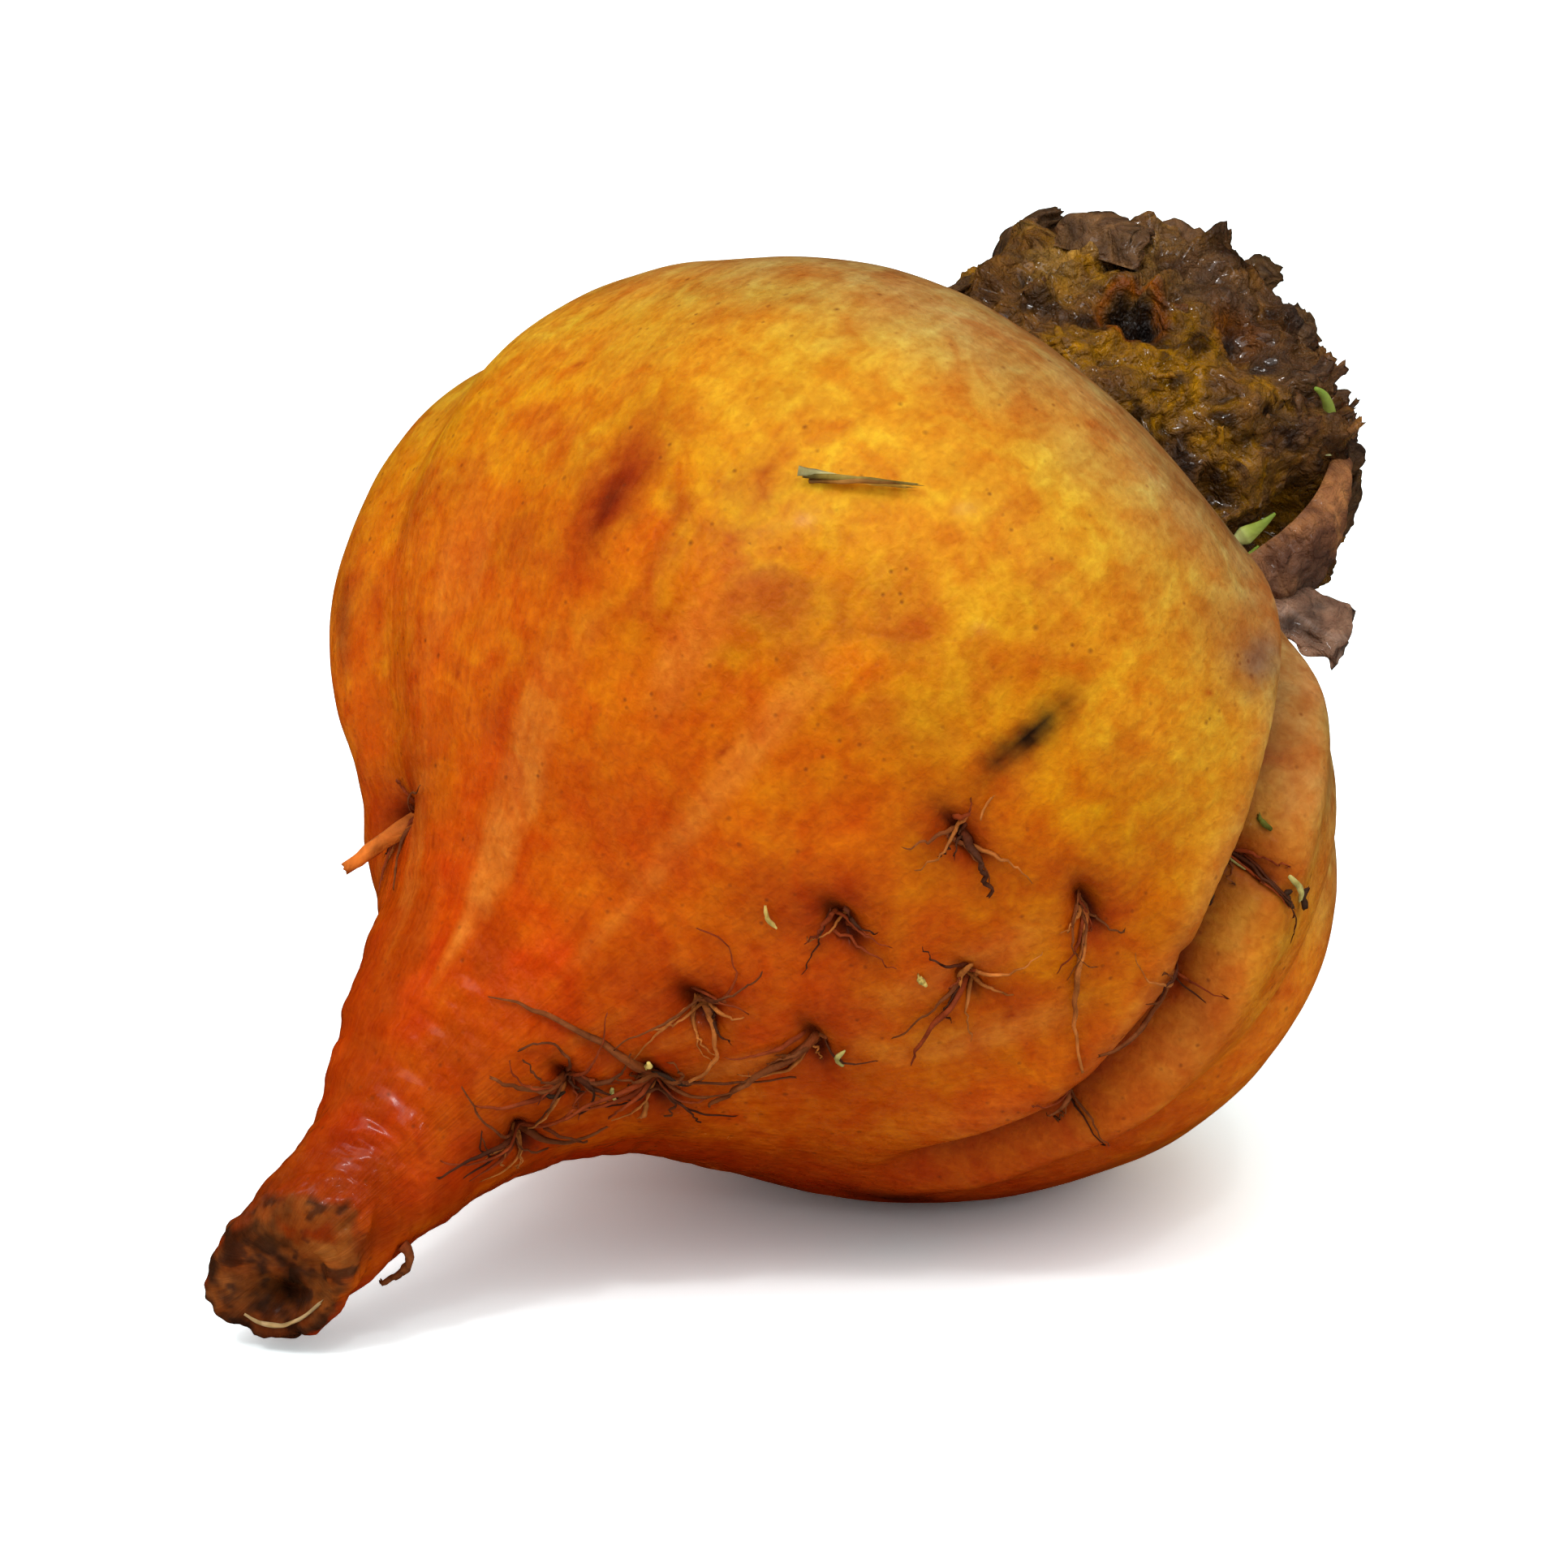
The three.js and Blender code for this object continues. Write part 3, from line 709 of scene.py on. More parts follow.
def zone_colour(along, places):
    """The ground colour, read along the root at places pushed about by noise, and clouded: soft
    hills make it yellower or redder, lighter or darker."""
    pushed = along + 2.6 * hills(places, 16, 51) + 2.0 * rough(places, 6, 52)
    stops = np.array([a for a, _ in ZONES[::-1]], float)
    colours = np.array([paint_colour(*c) for _, c in ZONES[::-1]])
    colour = np.stack([np.interp(pushed, stops, colours[:, k]) for k in range(3)], -1)
    light = 1 + 0.10 * rough(places, 7, 53)
    yellow = 1 + 0.20 * rough(places, 4.5, 54) + 0.08 * rough(places, 1.5, 55, 2)
    return colour * np.stack([light, light * yellow, light * yellow**1.6], -1)


def lay(colour, paint_tone, mask):
    """A tone laid over a colour where a mask is above 0."""
    mask = np.clip(mask, 0, 1)[..., None]
    return colour * (1 - mask) + paint_colour(*paint_tone) * mask


def mixed(low, high, share):
    """One tone where a share is 0, another where it is 1."""
    share = share[..., None]
    return paint_colour(*low) * (1 - share) + paint_colour(*high) * share


def lay_marks(colour, marks, along, around, ragged):
    """Lays marks over a colour. A mark is a bell over its two half sizes, and noise moves its edge
    in and out by the share called ragged."""
    for _, a, t, length, width, tone, strength in marks:
        far = np.hypot((along - a) / length, turn(around - t) / width) + ragged
        colour = lay(colour, tone, strength * bell(np.maximum(far, 0)))
    return colour


print(len(ZONES), "zones and", len(MARKS), "marks")


# %% Weathering, painted sheen and shade, stains and specks
def weathering_and_painted_light(colour, along, around, radius, places):
    """Changes to the ground colour that follow the shape itself: amber over the widest part on its
    upper side, olive and rust clouds below that, golden streaks where it narrows, a painted pink
    sheen on the lips beside the creases, a tan bloom at the collar, orange on the back lobe, and red
    underneath, partly the skin's own red and partly painted shade."""
    cloud, small = 0.5 + 0.5 * rough(places, 9, 56), 0.5 + 0.5 * rough(places, 4, 57)
    # amber over the widest part, on its upper side
    colour = lay(colour, AMBER, 0.9 * mound(along, around, 1, 125, 10, 45) * cloud)
    colour = lay(colour, OLIVE, 0.8 * mound(along, around, -10, 118, 5, 34) * smooth(2.2 * small - 0.7))
    colour = lay(colour, BLOOM, 0.5 * bell((along - 19) / 5) * smooth(2.4 * cloud - 0.8))
    colour = lay(colour, RED_CLOUD, 0.5 * smooth(2.6 * small - 1.3) * smooth((6 - along) / 12))
    streak = np.clip(1.6 * hills(stretched(along, around, 16, 9), 1.0, 58) - 0.3, 0, 1)
    colour = lay(colour, GOLD, 0.7 * streak * smooth((-8 - along) / 10) * smooth((along + 44) / 8))
    # a painted pink sheen on the lips beside the main crease
    across, there = crease_distance(CREASES[0], along, around, radius)
    lips = bell((np.abs(across) - 4) / 2.5)
    colour = lay(colour, PAINTED_PINK_SHEEN, 0.4 * there * lips * cloud)
    back_lobe = bell(turn(around - 212) / 16) * smooth((20 - along) / 14)
    colour = lay(colour, BACK_ORANGE, 0.75 * back_lobe)
    # the underside is laid in deep red: partly the skin's own red, partly painted shade
    under = bell(turn(around - 238) / 36) * smooth((4 - along) / 16)
    colour = lay(colour, UNDER_RED_AND_SHADE, 0.85 * under)
    return lay(colour, RUST, 0.5 * smooth((-30 - along) / 10) * smooth(2.4 * small - 0.9))


# the skin's gloss adds a trace of white light, so as much is taken from the pigment, which is never
# quite black
GLOSS_LIGHT, DARKEST = 0.003, 0.0008
# how many specks, how strongly pits are stained, and how far specks lie from tail to crown and round
SPECKS, PIT_STAIN, SPECK_ALONG, SPECK_AROUND = 26, 0.85, (-40, 12), (70, 330)


def skin_colour(along, around, radius, places):
    """Zones, then weathering with its painted sheen and shade, pits, and the main crease with painted shade
    along it, then marks and specks.
    """
    colour = zone_colour(along, places)
    colour = weathering_and_painted_light(colour, along, around, radius, places)
    cloudy = 0.5 + 0.5 * rough(places, 3.6, 63)
    for pit in PITS:
        stain = 1.2 * pit_shape(along, around, radius, pit, 2.1) * (0.4 + 0.8 * cloudy)
        colour = lay(colour, RUST, PIT_STAIN * np.minimum(stain, 1))
        deep = 1.6 * pit_shape(along, around, radius, pit, 0.9, 0.45) * (0.5 + 0.8 * cloudy)
        colour = lay(colour, PIT_BLACK, PIT_STAIN * np.clip(deep, 0, 1))
    # the bottom of the main crease is darkened: painted shade
    across, there = crease_distance(CREASES[0], along, around, radius)
    colour = lay(colour, CREASE_SHADE_RED, 0.9 * there * bell(across / 1.8))
    colour = lay_marks(colour, MARKS, along, around, 0.25 * rough(places, 1.2, 64))
    dice = np.random.default_rng(65)
    specks = [("speck", dice.uniform(*SPECK_ALONG), dice.uniform(*SPECK_AROUND), 0.5, 0.6, RUST, 0.8)
              for _ in range(SPECKS)]
    colour = lay_marks(colour, specks, along, around, 0.25 * rough(places, 1.2, 66))
    return np.maximum(colour - GLOSS_LIGHT, DARKEST)


print(len(PITS), "stained pits and", SPECKS, "specks")

# %% [markdown]
# ## The skin's finish
#
# Real beet skin is satin, faintly see-through, with a bloom of fine corky freckles, hair-thin rings
# near the crown and streaks running down to the tail. The mesh brings the large colours. The
# network varies them at 5.5, 2 and 0.6 mm, adds freckles and streaks, and makes roughness and fine
# relief from the same masks, so that colour and gloss change together.

# %% Material of the skin
FRECKLE_TONE = (104, 44, 14)


def shift(tree, mask, colour, low, high):
    """Multiplies a colour by one tone where a mask is 0 and by another where it is 1."""
    return blend(tree, 1.0, colour, blend(tree, mask, (*low, 1), (*high, 1)), "MULTIPLY")


def skin_material():
    """The tint times clouds of 5.5, 2 and 0.6 mm, streaks and rings, with freckles over it. Gloss and
    relief come from the same masks, and the tail is moister than the body."""
    material, tree, shader = new_finish(
        "golden_beet_skin", Subsurface_Weight=0.05, Subsurface_Scale=0.002, Specular_IOR_Level=0.05,
        Coat_Roughness=0.14)
    shader.inputs["Subsurface Radius"].default_value = (1.0, 0.35, 0.1)
    where = object_place(tree)
    grain = attribute(tree, "grain", "Vector")
    shoulder = attribute(tree, "shoulder")
    wash = use(tree, BLOTCHES, vector=where, size=0.0055, detail=6.0, sharpness=3.4, warp=1.0)
    cloud = use(tree, BLOTCHES, vector=where, size=0.002, detail=6.0, sharpness=3.2, warp=0.6)
    fine = use(tree, BLOTCHES, vector=where, size=0.0006, detail=4.0, sharpness=2.8, warp=0.3)
    streaks = use(tree, STREAKS, vector=grain, squeeze=(0.16, 1, 1), scale=9.0, sharpness=2.8)
    rings = use(tree, STREAKS, vector=grain, squeeze=(1, 0.12, 0.12), scale=9.0, sharpness=2.6)
    ring_mask = math_node(tree, "MULTIPLY", rings, shoulder)
    colour = attribute(tree, "tint", "Color")
    for mask, low, high in (
        (wash, (0.93, 0.74, 0.6), (1.06, 1.22, 1.3)), (cloud, (0.93, 0.80, 0.66), (1.05, 1.15, 1.25)),
        (fine, (0.90, 0.85, 0.8), (1.07, 1.1, 1.16)), (streaks, (0.95, 0.9, 0.86), (1.05, 1.1, 1.1)),
        (ring_mask, (1.0, 1.0, 1.0), (0.84, 0.8, 0.76)),
    ):
        colour = shift(tree, mask, colour, low, high)
    clusters = use(tree, BLOTCHES, vector=where, size=0.008, detail=3.0, sharpness=5.0, warp=0.6)
    crowded = use(tree, PORES, vector=where, spacing=0.0009, radius=0.26, share=0.3)
    scattered = use(tree, PORES, vector=where, spacing=0.003, radius=0.1, share=0.35)
    freckles = math_node(tree, "MAXIMUM", math_node(tree, "MULTIPLY", crowded, clusters), scattered)
    colour = blend(tree, math_node(tree, "MULTIPLY", freckles, 0.75), colour, rgba(*FRECKLE_TONE))
    tree.links.new(colour, shader.inputs["Base Color"])
    dry = math_node(tree, "MULTIPLY", shoulder, 0.18)
    duller = math_node(tree, "ADD", scaled(tree, cloud, 0.16, 0.3), dry)
    moist = attribute(tree, "moist")
    smoother = math_node(tree, "MULTIPLY", moist, 0.2)
    tree.links.new(math_node(tree, "SUBTRACT", duller, smoother), shader.inputs["Roughness"])
    tree.links.new(scaled(tree, moist, 0.18, 0.04), shader.inputs["Coat Weight"])
    relief = weighted_sum(tree, (fine, 0.5), (streaks, 0.35), (ring_mask, 1.0), (freckles, -0.5))
    bump(tree, shader, relief, 0.00018, 0.7)
    return material


skin_finish = skin_material()
print("made", skin_finish.name)

# %% [markdown]
# ## The body
#
# The body is one grid of rings from the hollow in the cut tail to the collar under the crown. Rings
# are closer together on the tail and at the collar, where the shape changes fastest.

# %% Places of the body's points
BODY_RINGS, BODY_COLUMNS = 340, 286
# (fraction, how dense the rings or columns are there)
RING_DENSITY = [(0, 2.0), (0.1, 1.6), (0.3, 1.2), (0.45, 0.95), (0.8, 0.8), (0.88, 1.3), (1, 0.4)]
COLUMN_DENSITY = [(0, 0.8), (0.1, 0.8), (0.25, 1.4), (0.6, 1.4), (0.7, 0.8), (1, 0.8)]


def uneven_steps(count, weights):
    """Fractions from 0 to 1 whose density follows weights, a list of (fraction, weight)."""
    where, weight = np.array(weights, float).T
    fine = np.linspace(0, 1, 4001)
    total = np.cumsum(np.interp(fine, where, weight))
    total = (total - total[0]) / (total[-1] - total[0])
    return np.interp(np.linspace(0, 1, count), total, fine)


def grid_of(line, rows, columns, weights, around_weights=((0, 1), (1, 1))):
    """Fractions, angles, distances along the axis and radii for every point of a grid."""
    fraction = uneven_steps(rows, weights)
    around = uneven_steps(columns + 1, around_weights)[:-1] * 360
    fraction, around = np.meshgrid(fraction, around, indexing="ij")
    along, radius, _, _ = line.at(fraction)
    return fraction, around, along, radius


def per_point(values):
    """Values of a grid, one for each of the mesh's points."""
    if values.ndim == 2:
        values = values[..., None]
    flat = values.shape[-1]
    parts = values[0, :1], values[1:-1], values[-1, :1]
    out = np.concatenate([part.reshape(-1, flat) for part in parts])
    return out[:, 0] if flat == 1 else out


fraction, around, along, radius = grid_of(root_line, BODY_RINGS, BODY_COLUMNS, RING_DENSITY, COLUMN_DENSITY)
body_points = skin(fraction, around)
print("body from", np.round(body_points.min((0, 1)), 1), "to", np.round(body_points.max((0, 1)), 1))

# %% Build the body
# colours of the cut tail: its torn flesh, a painted highlight on its high side, its mottles, and painted
# shade on its low side
FLESH_TONES = (52, 28, 15), (132, 66, 24)
PAINTED_LIGHT_HIGH_SIDE, MOTTLE, PAINTED_SHADE_LOW_SIDE = (158, 84, 28), (60, 34, 22), (40, 24, 18)
tint = skin_colour(along, around, radius, body_points)
length = fraction * root_line.length
# the torn flesh reaches further out on the low side of the cut
cut_edge = 5.0 + 1.4 * np.cos(np.radians(around - 325))
inside_cut = 1 - smooth((length - cut_edge) / 2.0 + 1.1 * rough(body_points, 1.8, 71))
torn = np.clip(0.45 + 0.8 * rough(body_points, 2.4, 73) + 0.5 * rough(body_points, 0.8, 72), 0, 1)
cut_colour = mixed(*FLESH_TONES, torn)
shaded_low_side = mound(length, around, 6, 285, 2, 55)
lit_high_side = mound(length, around, 4, 150, 2.5, 60)
mottle = smooth(2.6 * rough(body_points, 1.3, 74) - 0.4)
# the high side of the cut is lightened as painted light, and the low side is darkened as painted shade
for tone, mask in ((PAINTED_LIGHT_HIGH_SIDE, 0.8 * lit_high_side), (MOTTLE, 0.8 * mottle), (PAINTED_SHADE_LOW_SIDE, 0.95 * shaded_low_side)):
    cut_colour = lay(cut_colour, tone, mask)
# the hole in the middle of the cut is darkened almost to black: painted shade in the hollow
cut_colour = cut_colour * (1 - 0.93 * cut_hole(length, around)[..., None])
tint = tint * (1 - inside_cut[..., None]) + cut_colour * inside_cut[..., None]
body_mesh = build_mesh("beet_body", [body_points])
paint(body_mesh, "tint", per_point(tint))
paint(body_mesh, "shoulder", per_point(smooth((along - 8) / 14)))
paint(body_mesh, "moist", per_point(smooth((-14 - along) / 26)))
grain = body_mesh.attributes.new("grain", "FLOAT_VECTOR", "POINT")
grain_places = per_point(stretched(length, around, 12, 4))
grain.data.foreach_set("vector", grain_places.astype(np.float32).ravel())
show("beet_body", body_mesh, skin_finish, "root_skin", "beet_root")

# %% [markdown]
# ## Strands: one function for stalks, roots, hairs and straw
#
# Many small pieces are a closed skin round a smooth line: a leaf stalk, a side root, a hair. The
# section is an ellipse whose two half sizes change along the line, and it may bend into a gutter.
# The first and last rings shrink to a point, so each strand is closed.

# %% Strands
rng = np.random.default_rng(7)


def unit(v):
    """A vector divided by its own length."""
    return v / np.maximum(np.linalg.norm(v, axis=-1, keepdims=True), 1e-9)


def strand(path, half, thick=None, wide=None, rows=20, columns=8, sag=0.0, tear=0.0, bark=0.0, seed=0):
    """Rings on a smooth line: point = centre + half cos(angle) across + (thick sin(angle) -
    sag cos(angle)^2) outward. half, thick and sag are numbers or functions of s from 0 to 1. tear
    pulls the far end in and out in shreds, and bark is the height of its lengthwise ridges."""
    thick = half if thick is None else thick
    s = np.linspace(0, 1, rows)
    centre = curve_through(path, rows)
    forward = unit(np.gradient(centre, axis=0))
    wide = np.array([0.31, 0.62, 0.72]) if wide is None else np.array(wide, float)
    across = unit(wide - (forward @ wide)[:, None] * forward)
    outward = np.cross(forward, across)
    half, thick, sag = ((x(s) if callable(x) else np.full(rows, x))[:, None] for x in (half, thick, sag))
    angle = np.linspace(0, 2 * math.pi, columns, endpoint=False)
    wheel = np.stack(np.broadcast_arrays(np.cos(angle), np.sin(angle), s[:, None] * 1.5), -1)
    ridges = 1 + bark * hills(wheel * 2.0 + seed * 9.7, 0.55, 201)
    pull = tear * s[:, None] ** 2 * rough(wheel * 1.6 + seed * 5.1, 0.8, 202, 2)
    grid = (
        centre[:, None]
        + (half * ridges * np.cos(angle))[..., None] * across[:, None]
        + (thick * ridges * np.sin(angle) - sag * np.cos(angle) ** 2)[..., None] * outward[:, None]
        + pull[..., None] * forward[:, None]
    )
    return capped(grid, grid[0].mean(0), grid[-1].mean(0))


def show_tinted(name, grids, tints, material, slot, *nodes):
    """Closed grids as one piece, with a colour for each point."""
    mesh = build_mesh(name, grids)
    paint(mesh, "tint", np.concatenate([per_point(tint) for tint in tints]))
    return show(name, mesh, material, slot, *nodes)


print("strand of 20 rows:", strand([(0, 0, 0), (1, 0, 1), (2, 0, 3)], 0.5).shape)

# %% [markdown]
# ## The crown stump
#
# Above the shoulder the root ends in a stump where the leaves were. It has rotted: wet brown shreds,
# overlapping leaf scars, ochre and orange flesh in the hollows, and pits blackened by painted shade.
# Its surface is built in layers on the plain stump: large lumps, then some overlapping plates that
# rise and break off sharply, then crests of torn fibre, and last the pits.

# %% Shape of the crown stump
# along, around, half width in mm, depth, and how far painted shade blackens it inside: a black pit, a shallow
# cup, a hole at the foot, a hollow behind the leaf base, and two on the far side
CROWN_PITS = [
    (40, 118, 2.7, 3.8, 1.0), (46, 142, 2.6, 2.4, 0.5), (26, 152, 1.4, 3.0, 1.0), (38, 188, 3.2, 3.6, 0.45),
    (38, 250, 4, 2.5, 0.6), (42, 330, 3.5, 2.5, 0.6),
]
# along, around, half length in mm, half width in degrees, height
CROWN_LUMPS = [
    (29, 62, 5, 20, 2.8), (49, 156, 6, 22, 1.0), (53, 120, 3.5, 22, 1.2), (44, 175, 5, 10, 1.0),
    (51, 84, 4, 14, -0.8),
]
# how many plates of leaf scars, and how far the whole surface is sunk, in mm
SCAR_COUNT, CROWN_SINK = 150, 1.5
# ridges of pulp: height and length in mm, and how many units of noise go round
FOLD_HEIGHT, FOLD_LENGTH, FOLDS_AROUND = 1.3, 13, 3.4


def crests(places, size, seed):
    """Sharp ridges where soft hills cross zero: 1 - 2 |hills|."""
    return 1 - 2 * np.abs(hills(places, size, seed))


def leaf_scars(places, outward, count, seed):
    """Overlapping plates. Each rises from its foot towards its free edge, which breaks off, and
    where plates overlap the highest one shows."""
    dice = np.random.default_rng(seed)
    flat, normals = places.reshape(-1, 3), outward.reshape(-1, 3)
    wobble = 0.3 * hills(flat, 1.6, seed + 1)
    total = np.zeros(len(flat))
    for middle in dice.choice(len(flat), count):
        length, width, height = dice.uniform(1.4, 3.8), dice.uniform(1.2, 2.8), dice.uniform(0.3, 0.9)
        heading = unit(AXIS + dice.normal(0, 0.55, 3))
        heading = unit(heading - (heading @ normals[middle]) * normals[middle])
        away = flat - flat[middle]
        u = away @ heading / length + wobble
        v = away @ np.cross(heading, normals[middle]) / width + wobble
        near = np.abs(away @ normals[middle]) < 4
        plate = height * smooth((u + 1) / 2) * smooth((1 - u) * 6) * smooth((1 - np.abs(v)) * 4) * near
        total = np.maximum(total, plate)
    return total.reshape(places.shape[:-1])


def crown_pits(along, around, radius, ragged):
    """Bell-shaped hollows with ragged edges: a mask from 0 to 1 of how far painted shade blackens them, and
    the depth of all of them.
    """
    depth, mask = np.zeros(along.shape), np.zeros(along.shape)
    for a, t, width, deep, dark in CROWN_PITS:
        far = np.hypot(along - a, np.radians(turn(around - t)) * radius) / width + ragged
        hollow = bell(np.maximum(far, 0) ** 1.5)
        depth += deep * hollow
        mask = np.maximum(mask, dark * hollow)
    return depth, mask


def fold_ridges(along, around):
    """Ridges of pulp that run up the stump: crests of noise that is stretched along it."""
    ridges = crests(stretched(along, around, FOLD_LENGTH, FOLDS_AROUND), 1.0, 90)
    return FOLD_HEIGHT * smooth(1.6 * ridges - 0.5)


print(len(CROWN_PITS), "pits and", SCAR_COUNT, "leaf scars")


# %% Points of the crown stump
def crown_surface(rows, columns):
    """Points of the stump, and the masks that its colours use."""
    density = [(0, 0.5), (0.2, 0.8), (0.35, 1), (1, 1)]
    fraction, around, along, radius = grid_of(crown_line, rows, columns, density)
    plain = place(crown_line, fraction, around, np.zeros(fraction.shape))
    raised = place(crown_line, fraction, around, np.ones(fraction.shape))
    scars = leaf_scars(plain, unit(raised - plain), SCAR_COUNT, 81)
    lumps = 0.8 * hills(plain, 8, 83) + 0.8 * rough(plain, 3.6, 84, 2)
    lumps += swellings(along, around, CROWN_LUMPS)
    torn = 0.4 * crests(plain, 2.4, 86) + 0.26 * crests(plain, 1.2, 87) + 0.16 * crests(plain, 0.6, 88)
    hollow, pit = crown_pits(along, around, radius, 0.25 * hills(plain, 2, 89))
    folds = fold_ridges(along, around)
    free = smooth((along - 26) / 4) + 0.25
    height = free * (lumps + scars + folds + torn - CROWN_SINK) - hollow
    points = place(crown_line, fraction, around, height)
    points[..., 2] = np.maximum(points[..., 2], 0)
    return points, along, around, scars + folds, torn, pit


CROWN_ROWS, CROWN_COLUMNS = 300, 320
crown_points, along, around, scars, torn, pit = crown_surface(CROWN_ROWS, CROWN_COLUMNS)
crown_along = along
print("crown stump from", np.round(crown_points.min((0, 1)), 1), "to", np.round(crown_points.max((0, 1)), 1))

# %% Colours of the crown stump
ROT_TONES, TROUGH_SHADE, PIT_SHADE = ((112, 80, 48), (74, 52, 36)), (50, 30, 20), (16, 11, 9)
OCHRE, ORANGE_FLESH, SLATE = (140, 102, 44), (146, 82, 26), (74, 60, 52)
TAN_TIP, DARK_FIBRE = (176, 138, 84), (34, 22, 16)
crown_colour = mixed(*ROT_TONES, 0.5 + 0.5 * rough(crown_points, 4, 91))
fleshy = 0.5 + 0.5 * rough(crown_points, 5, 92)
fibrous = 0.5 + 0.5 * rough(crown_points, 2.6, 93)
# ochre flesh shows through in the middle, slate skin has dried on the outer end, tan tips stand up
# on the left shoulder, dark fibre lies in bands, and the walls of the pits are still orange
crown_colour = lay(crown_colour, OCHRE, 0.85 * smooth(2.6 * fleshy - 1.0) * smooth((48 - along) / 8))
crown_colour = lay(crown_colour, DARK_FIBRE, 0.85 * smooth(2.8 * fibrous - 1.4))
dried = smooth((along - 42) / 6) * smooth(2 * fleshy - 0.3) * bell(turn(around - 165) / 60)
crown_colour = lay(crown_colour, SLATE, 0.85 * dried)
tips = mound(along, around, 45, 95, 5, 18) * smooth(2.4 * fibrous - 0.6)
crown_colour = lay(crown_colour, TAN_TIP, 0.85 * tips)
wall = bell((pit - 0.28) / 0.14)
crown_colour = lay(crown_colour, ORANGE_FLESH, 0.7 * wall * bell(turn(around - 115) / 30))
# painted highlight makes the crests of the torn fibre paler, and painted shade makes the troughs darker and
# the pits black
crest_highlight = np.clip(1.6 * torn + 0.5 * scars - 0.9, 0, 1) * (0.5 + 0.5 * hills(crown_points, 3, 94))
crown_colour = crown_colour * (1 + 0.5 * crest_highlight[..., None])
crown_colour = lay(1.2 * crown_colour, TROUGH_SHADE, 0.45 * np.clip(0.5 - 1.3 * torn, 0, 1))
# the pits are blackened: painted shade
crown_colour = lay(crown_colour, PIT_SHADE, 0.9 * smooth(2.2 * pit - 0.7))
grey = crown_colour.mean(-1, keepdims=True)
crown_colour = np.maximum(grey + 1.25 * (crown_colour - grey) - GLOSS_LIGHT, 0.001)
print("share of the crown in a pit:", round(float(pit.mean()), 3))

# %% [markdown]
# ## The finish of rot
#
# Rotten flesh is wet, so it is glossy in some places and dull in others, and its fine relief is
# strong. The same network serves the stump, the stalks, the dry leaf base and the flakes: each mesh
# brings its own colours, and each material sets its own wetness and depth of relief.

# %% Materials of the crown


def flesh_material(name, wet, coat, depth, fibre, tone=(0.55, 0.5, 0.46, 1), specular=0.12):
    """A brown plant finish: the mesh's tint, fine blotches, fibres, and gloss that comes and goes."""
    material, tree, shader = new_finish(
        name, Subsurface_Weight=0.05, Subsurface_Scale=0.0015, Coat_Roughness=0.08,
        Specular_IOR_Level=specular)
    where = object_place(tree)
    tint = attribute(tree, "tint", "Color")
    grime = use(tree, BLOTCHES, vector=where, size=0.0022, detail=5.0, sharpness=3.0, warp=1.2)
    fine = use(tree, BLOTCHES, vector=where, size=0.0007, detail=3.0, sharpness=2.6, warp=0.6)
    threads = use(tree, STREAKS, vector=where, squeeze=fibre, scale=700.0, sharpness=2.2)
    colour = shift(tree, grime, tint, (1.12, 1.12, 1.1), tone[:3])
    colour = shift(tree, threads, colour, (0.9, 0.88, 0.86), (1.2, 1.18, 1.14))
    tree.links.new(colour, shader.inputs["Base Color"])
    tree.links.new(scaled(tree, grime, 0.35, wet), shader.inputs["Roughness"])
    clean = math_node(tree, "SUBTRACT", 1.0, grime)
    tree.links.new(math_node(tree, "MULTIPLY", clean, coat), shader.inputs["Coat Weight"])
    bump(tree, shader, weighted_sum(tree, (fine, 0.5), (threads, 0.25), (grime, 1.0)), depth)
    return material


rot_finish = flesh_material("rotten_crown", 0.12, 1.0, 0.0006, (1.0, 0.6, 1.4), (0.52, 0.48, 0.42, 1), 0.45)
stalk_finish = flesh_material("old_leaf_stalk", 0.2, 0.8, 0.0004, (0.3, 1.2, 0.4), (0.5, 0.46, 0.44, 1), 0.3)
leaf_finish = flesh_material(
    "dry_leaf_sheath", 0.28, 0.5, 0.00035, (0.3, 1.3, 0.3), (0.62, 0.54, 0.5, 1), 0.25)
show_tinted("crown_stump", [crown_points], [crown_colour], rot_finish, "root_skin")

# %% [markdown]
# ## Old leaf stalks
#
# Each leaf has left a stub, torn off short. A stub is a strand with a flat section, fibrous ridges
# and a shredded end. It springs from the stump and leans towards the crown's end.

# %% Leaf stalk stubs
# rings of stubs: along, first angle, step between them, how many, then length, width, thickness, and
# the lean from straight out (0) to along the axis (90)
STUB_RINGS = [
    (51, 20, 45, 8, 3, 5, 2.6, 84), (45, 205, 36, 8, 4, 7, 2.8, 82), (29, 232, 64, 4, 9, 8.5, 2.8, 80),
    (53, 25, 108, 3, 4, 3.5, 2.2, 54),
]
# neighbours differ in size by this share, and stubs spring from under the stump's skin
STUB_VARIES, STUB_STEP, STUB_LIFT, STUB_ROOTED = 0.18, 2.4, -0.8, 1.5
STUB_TONES = [(104, 74, 44), (96, 68, 38), (128, 92, 58), (92, 66, 38), (110, 78, 46)]


def crown_spot(spots):
    """Points from (along, around, lift) on the plain crown."""
    along, around, lift = np.array(spots, float).T
    return place(crown_line, crown_line.fraction_at(along), around, lift)


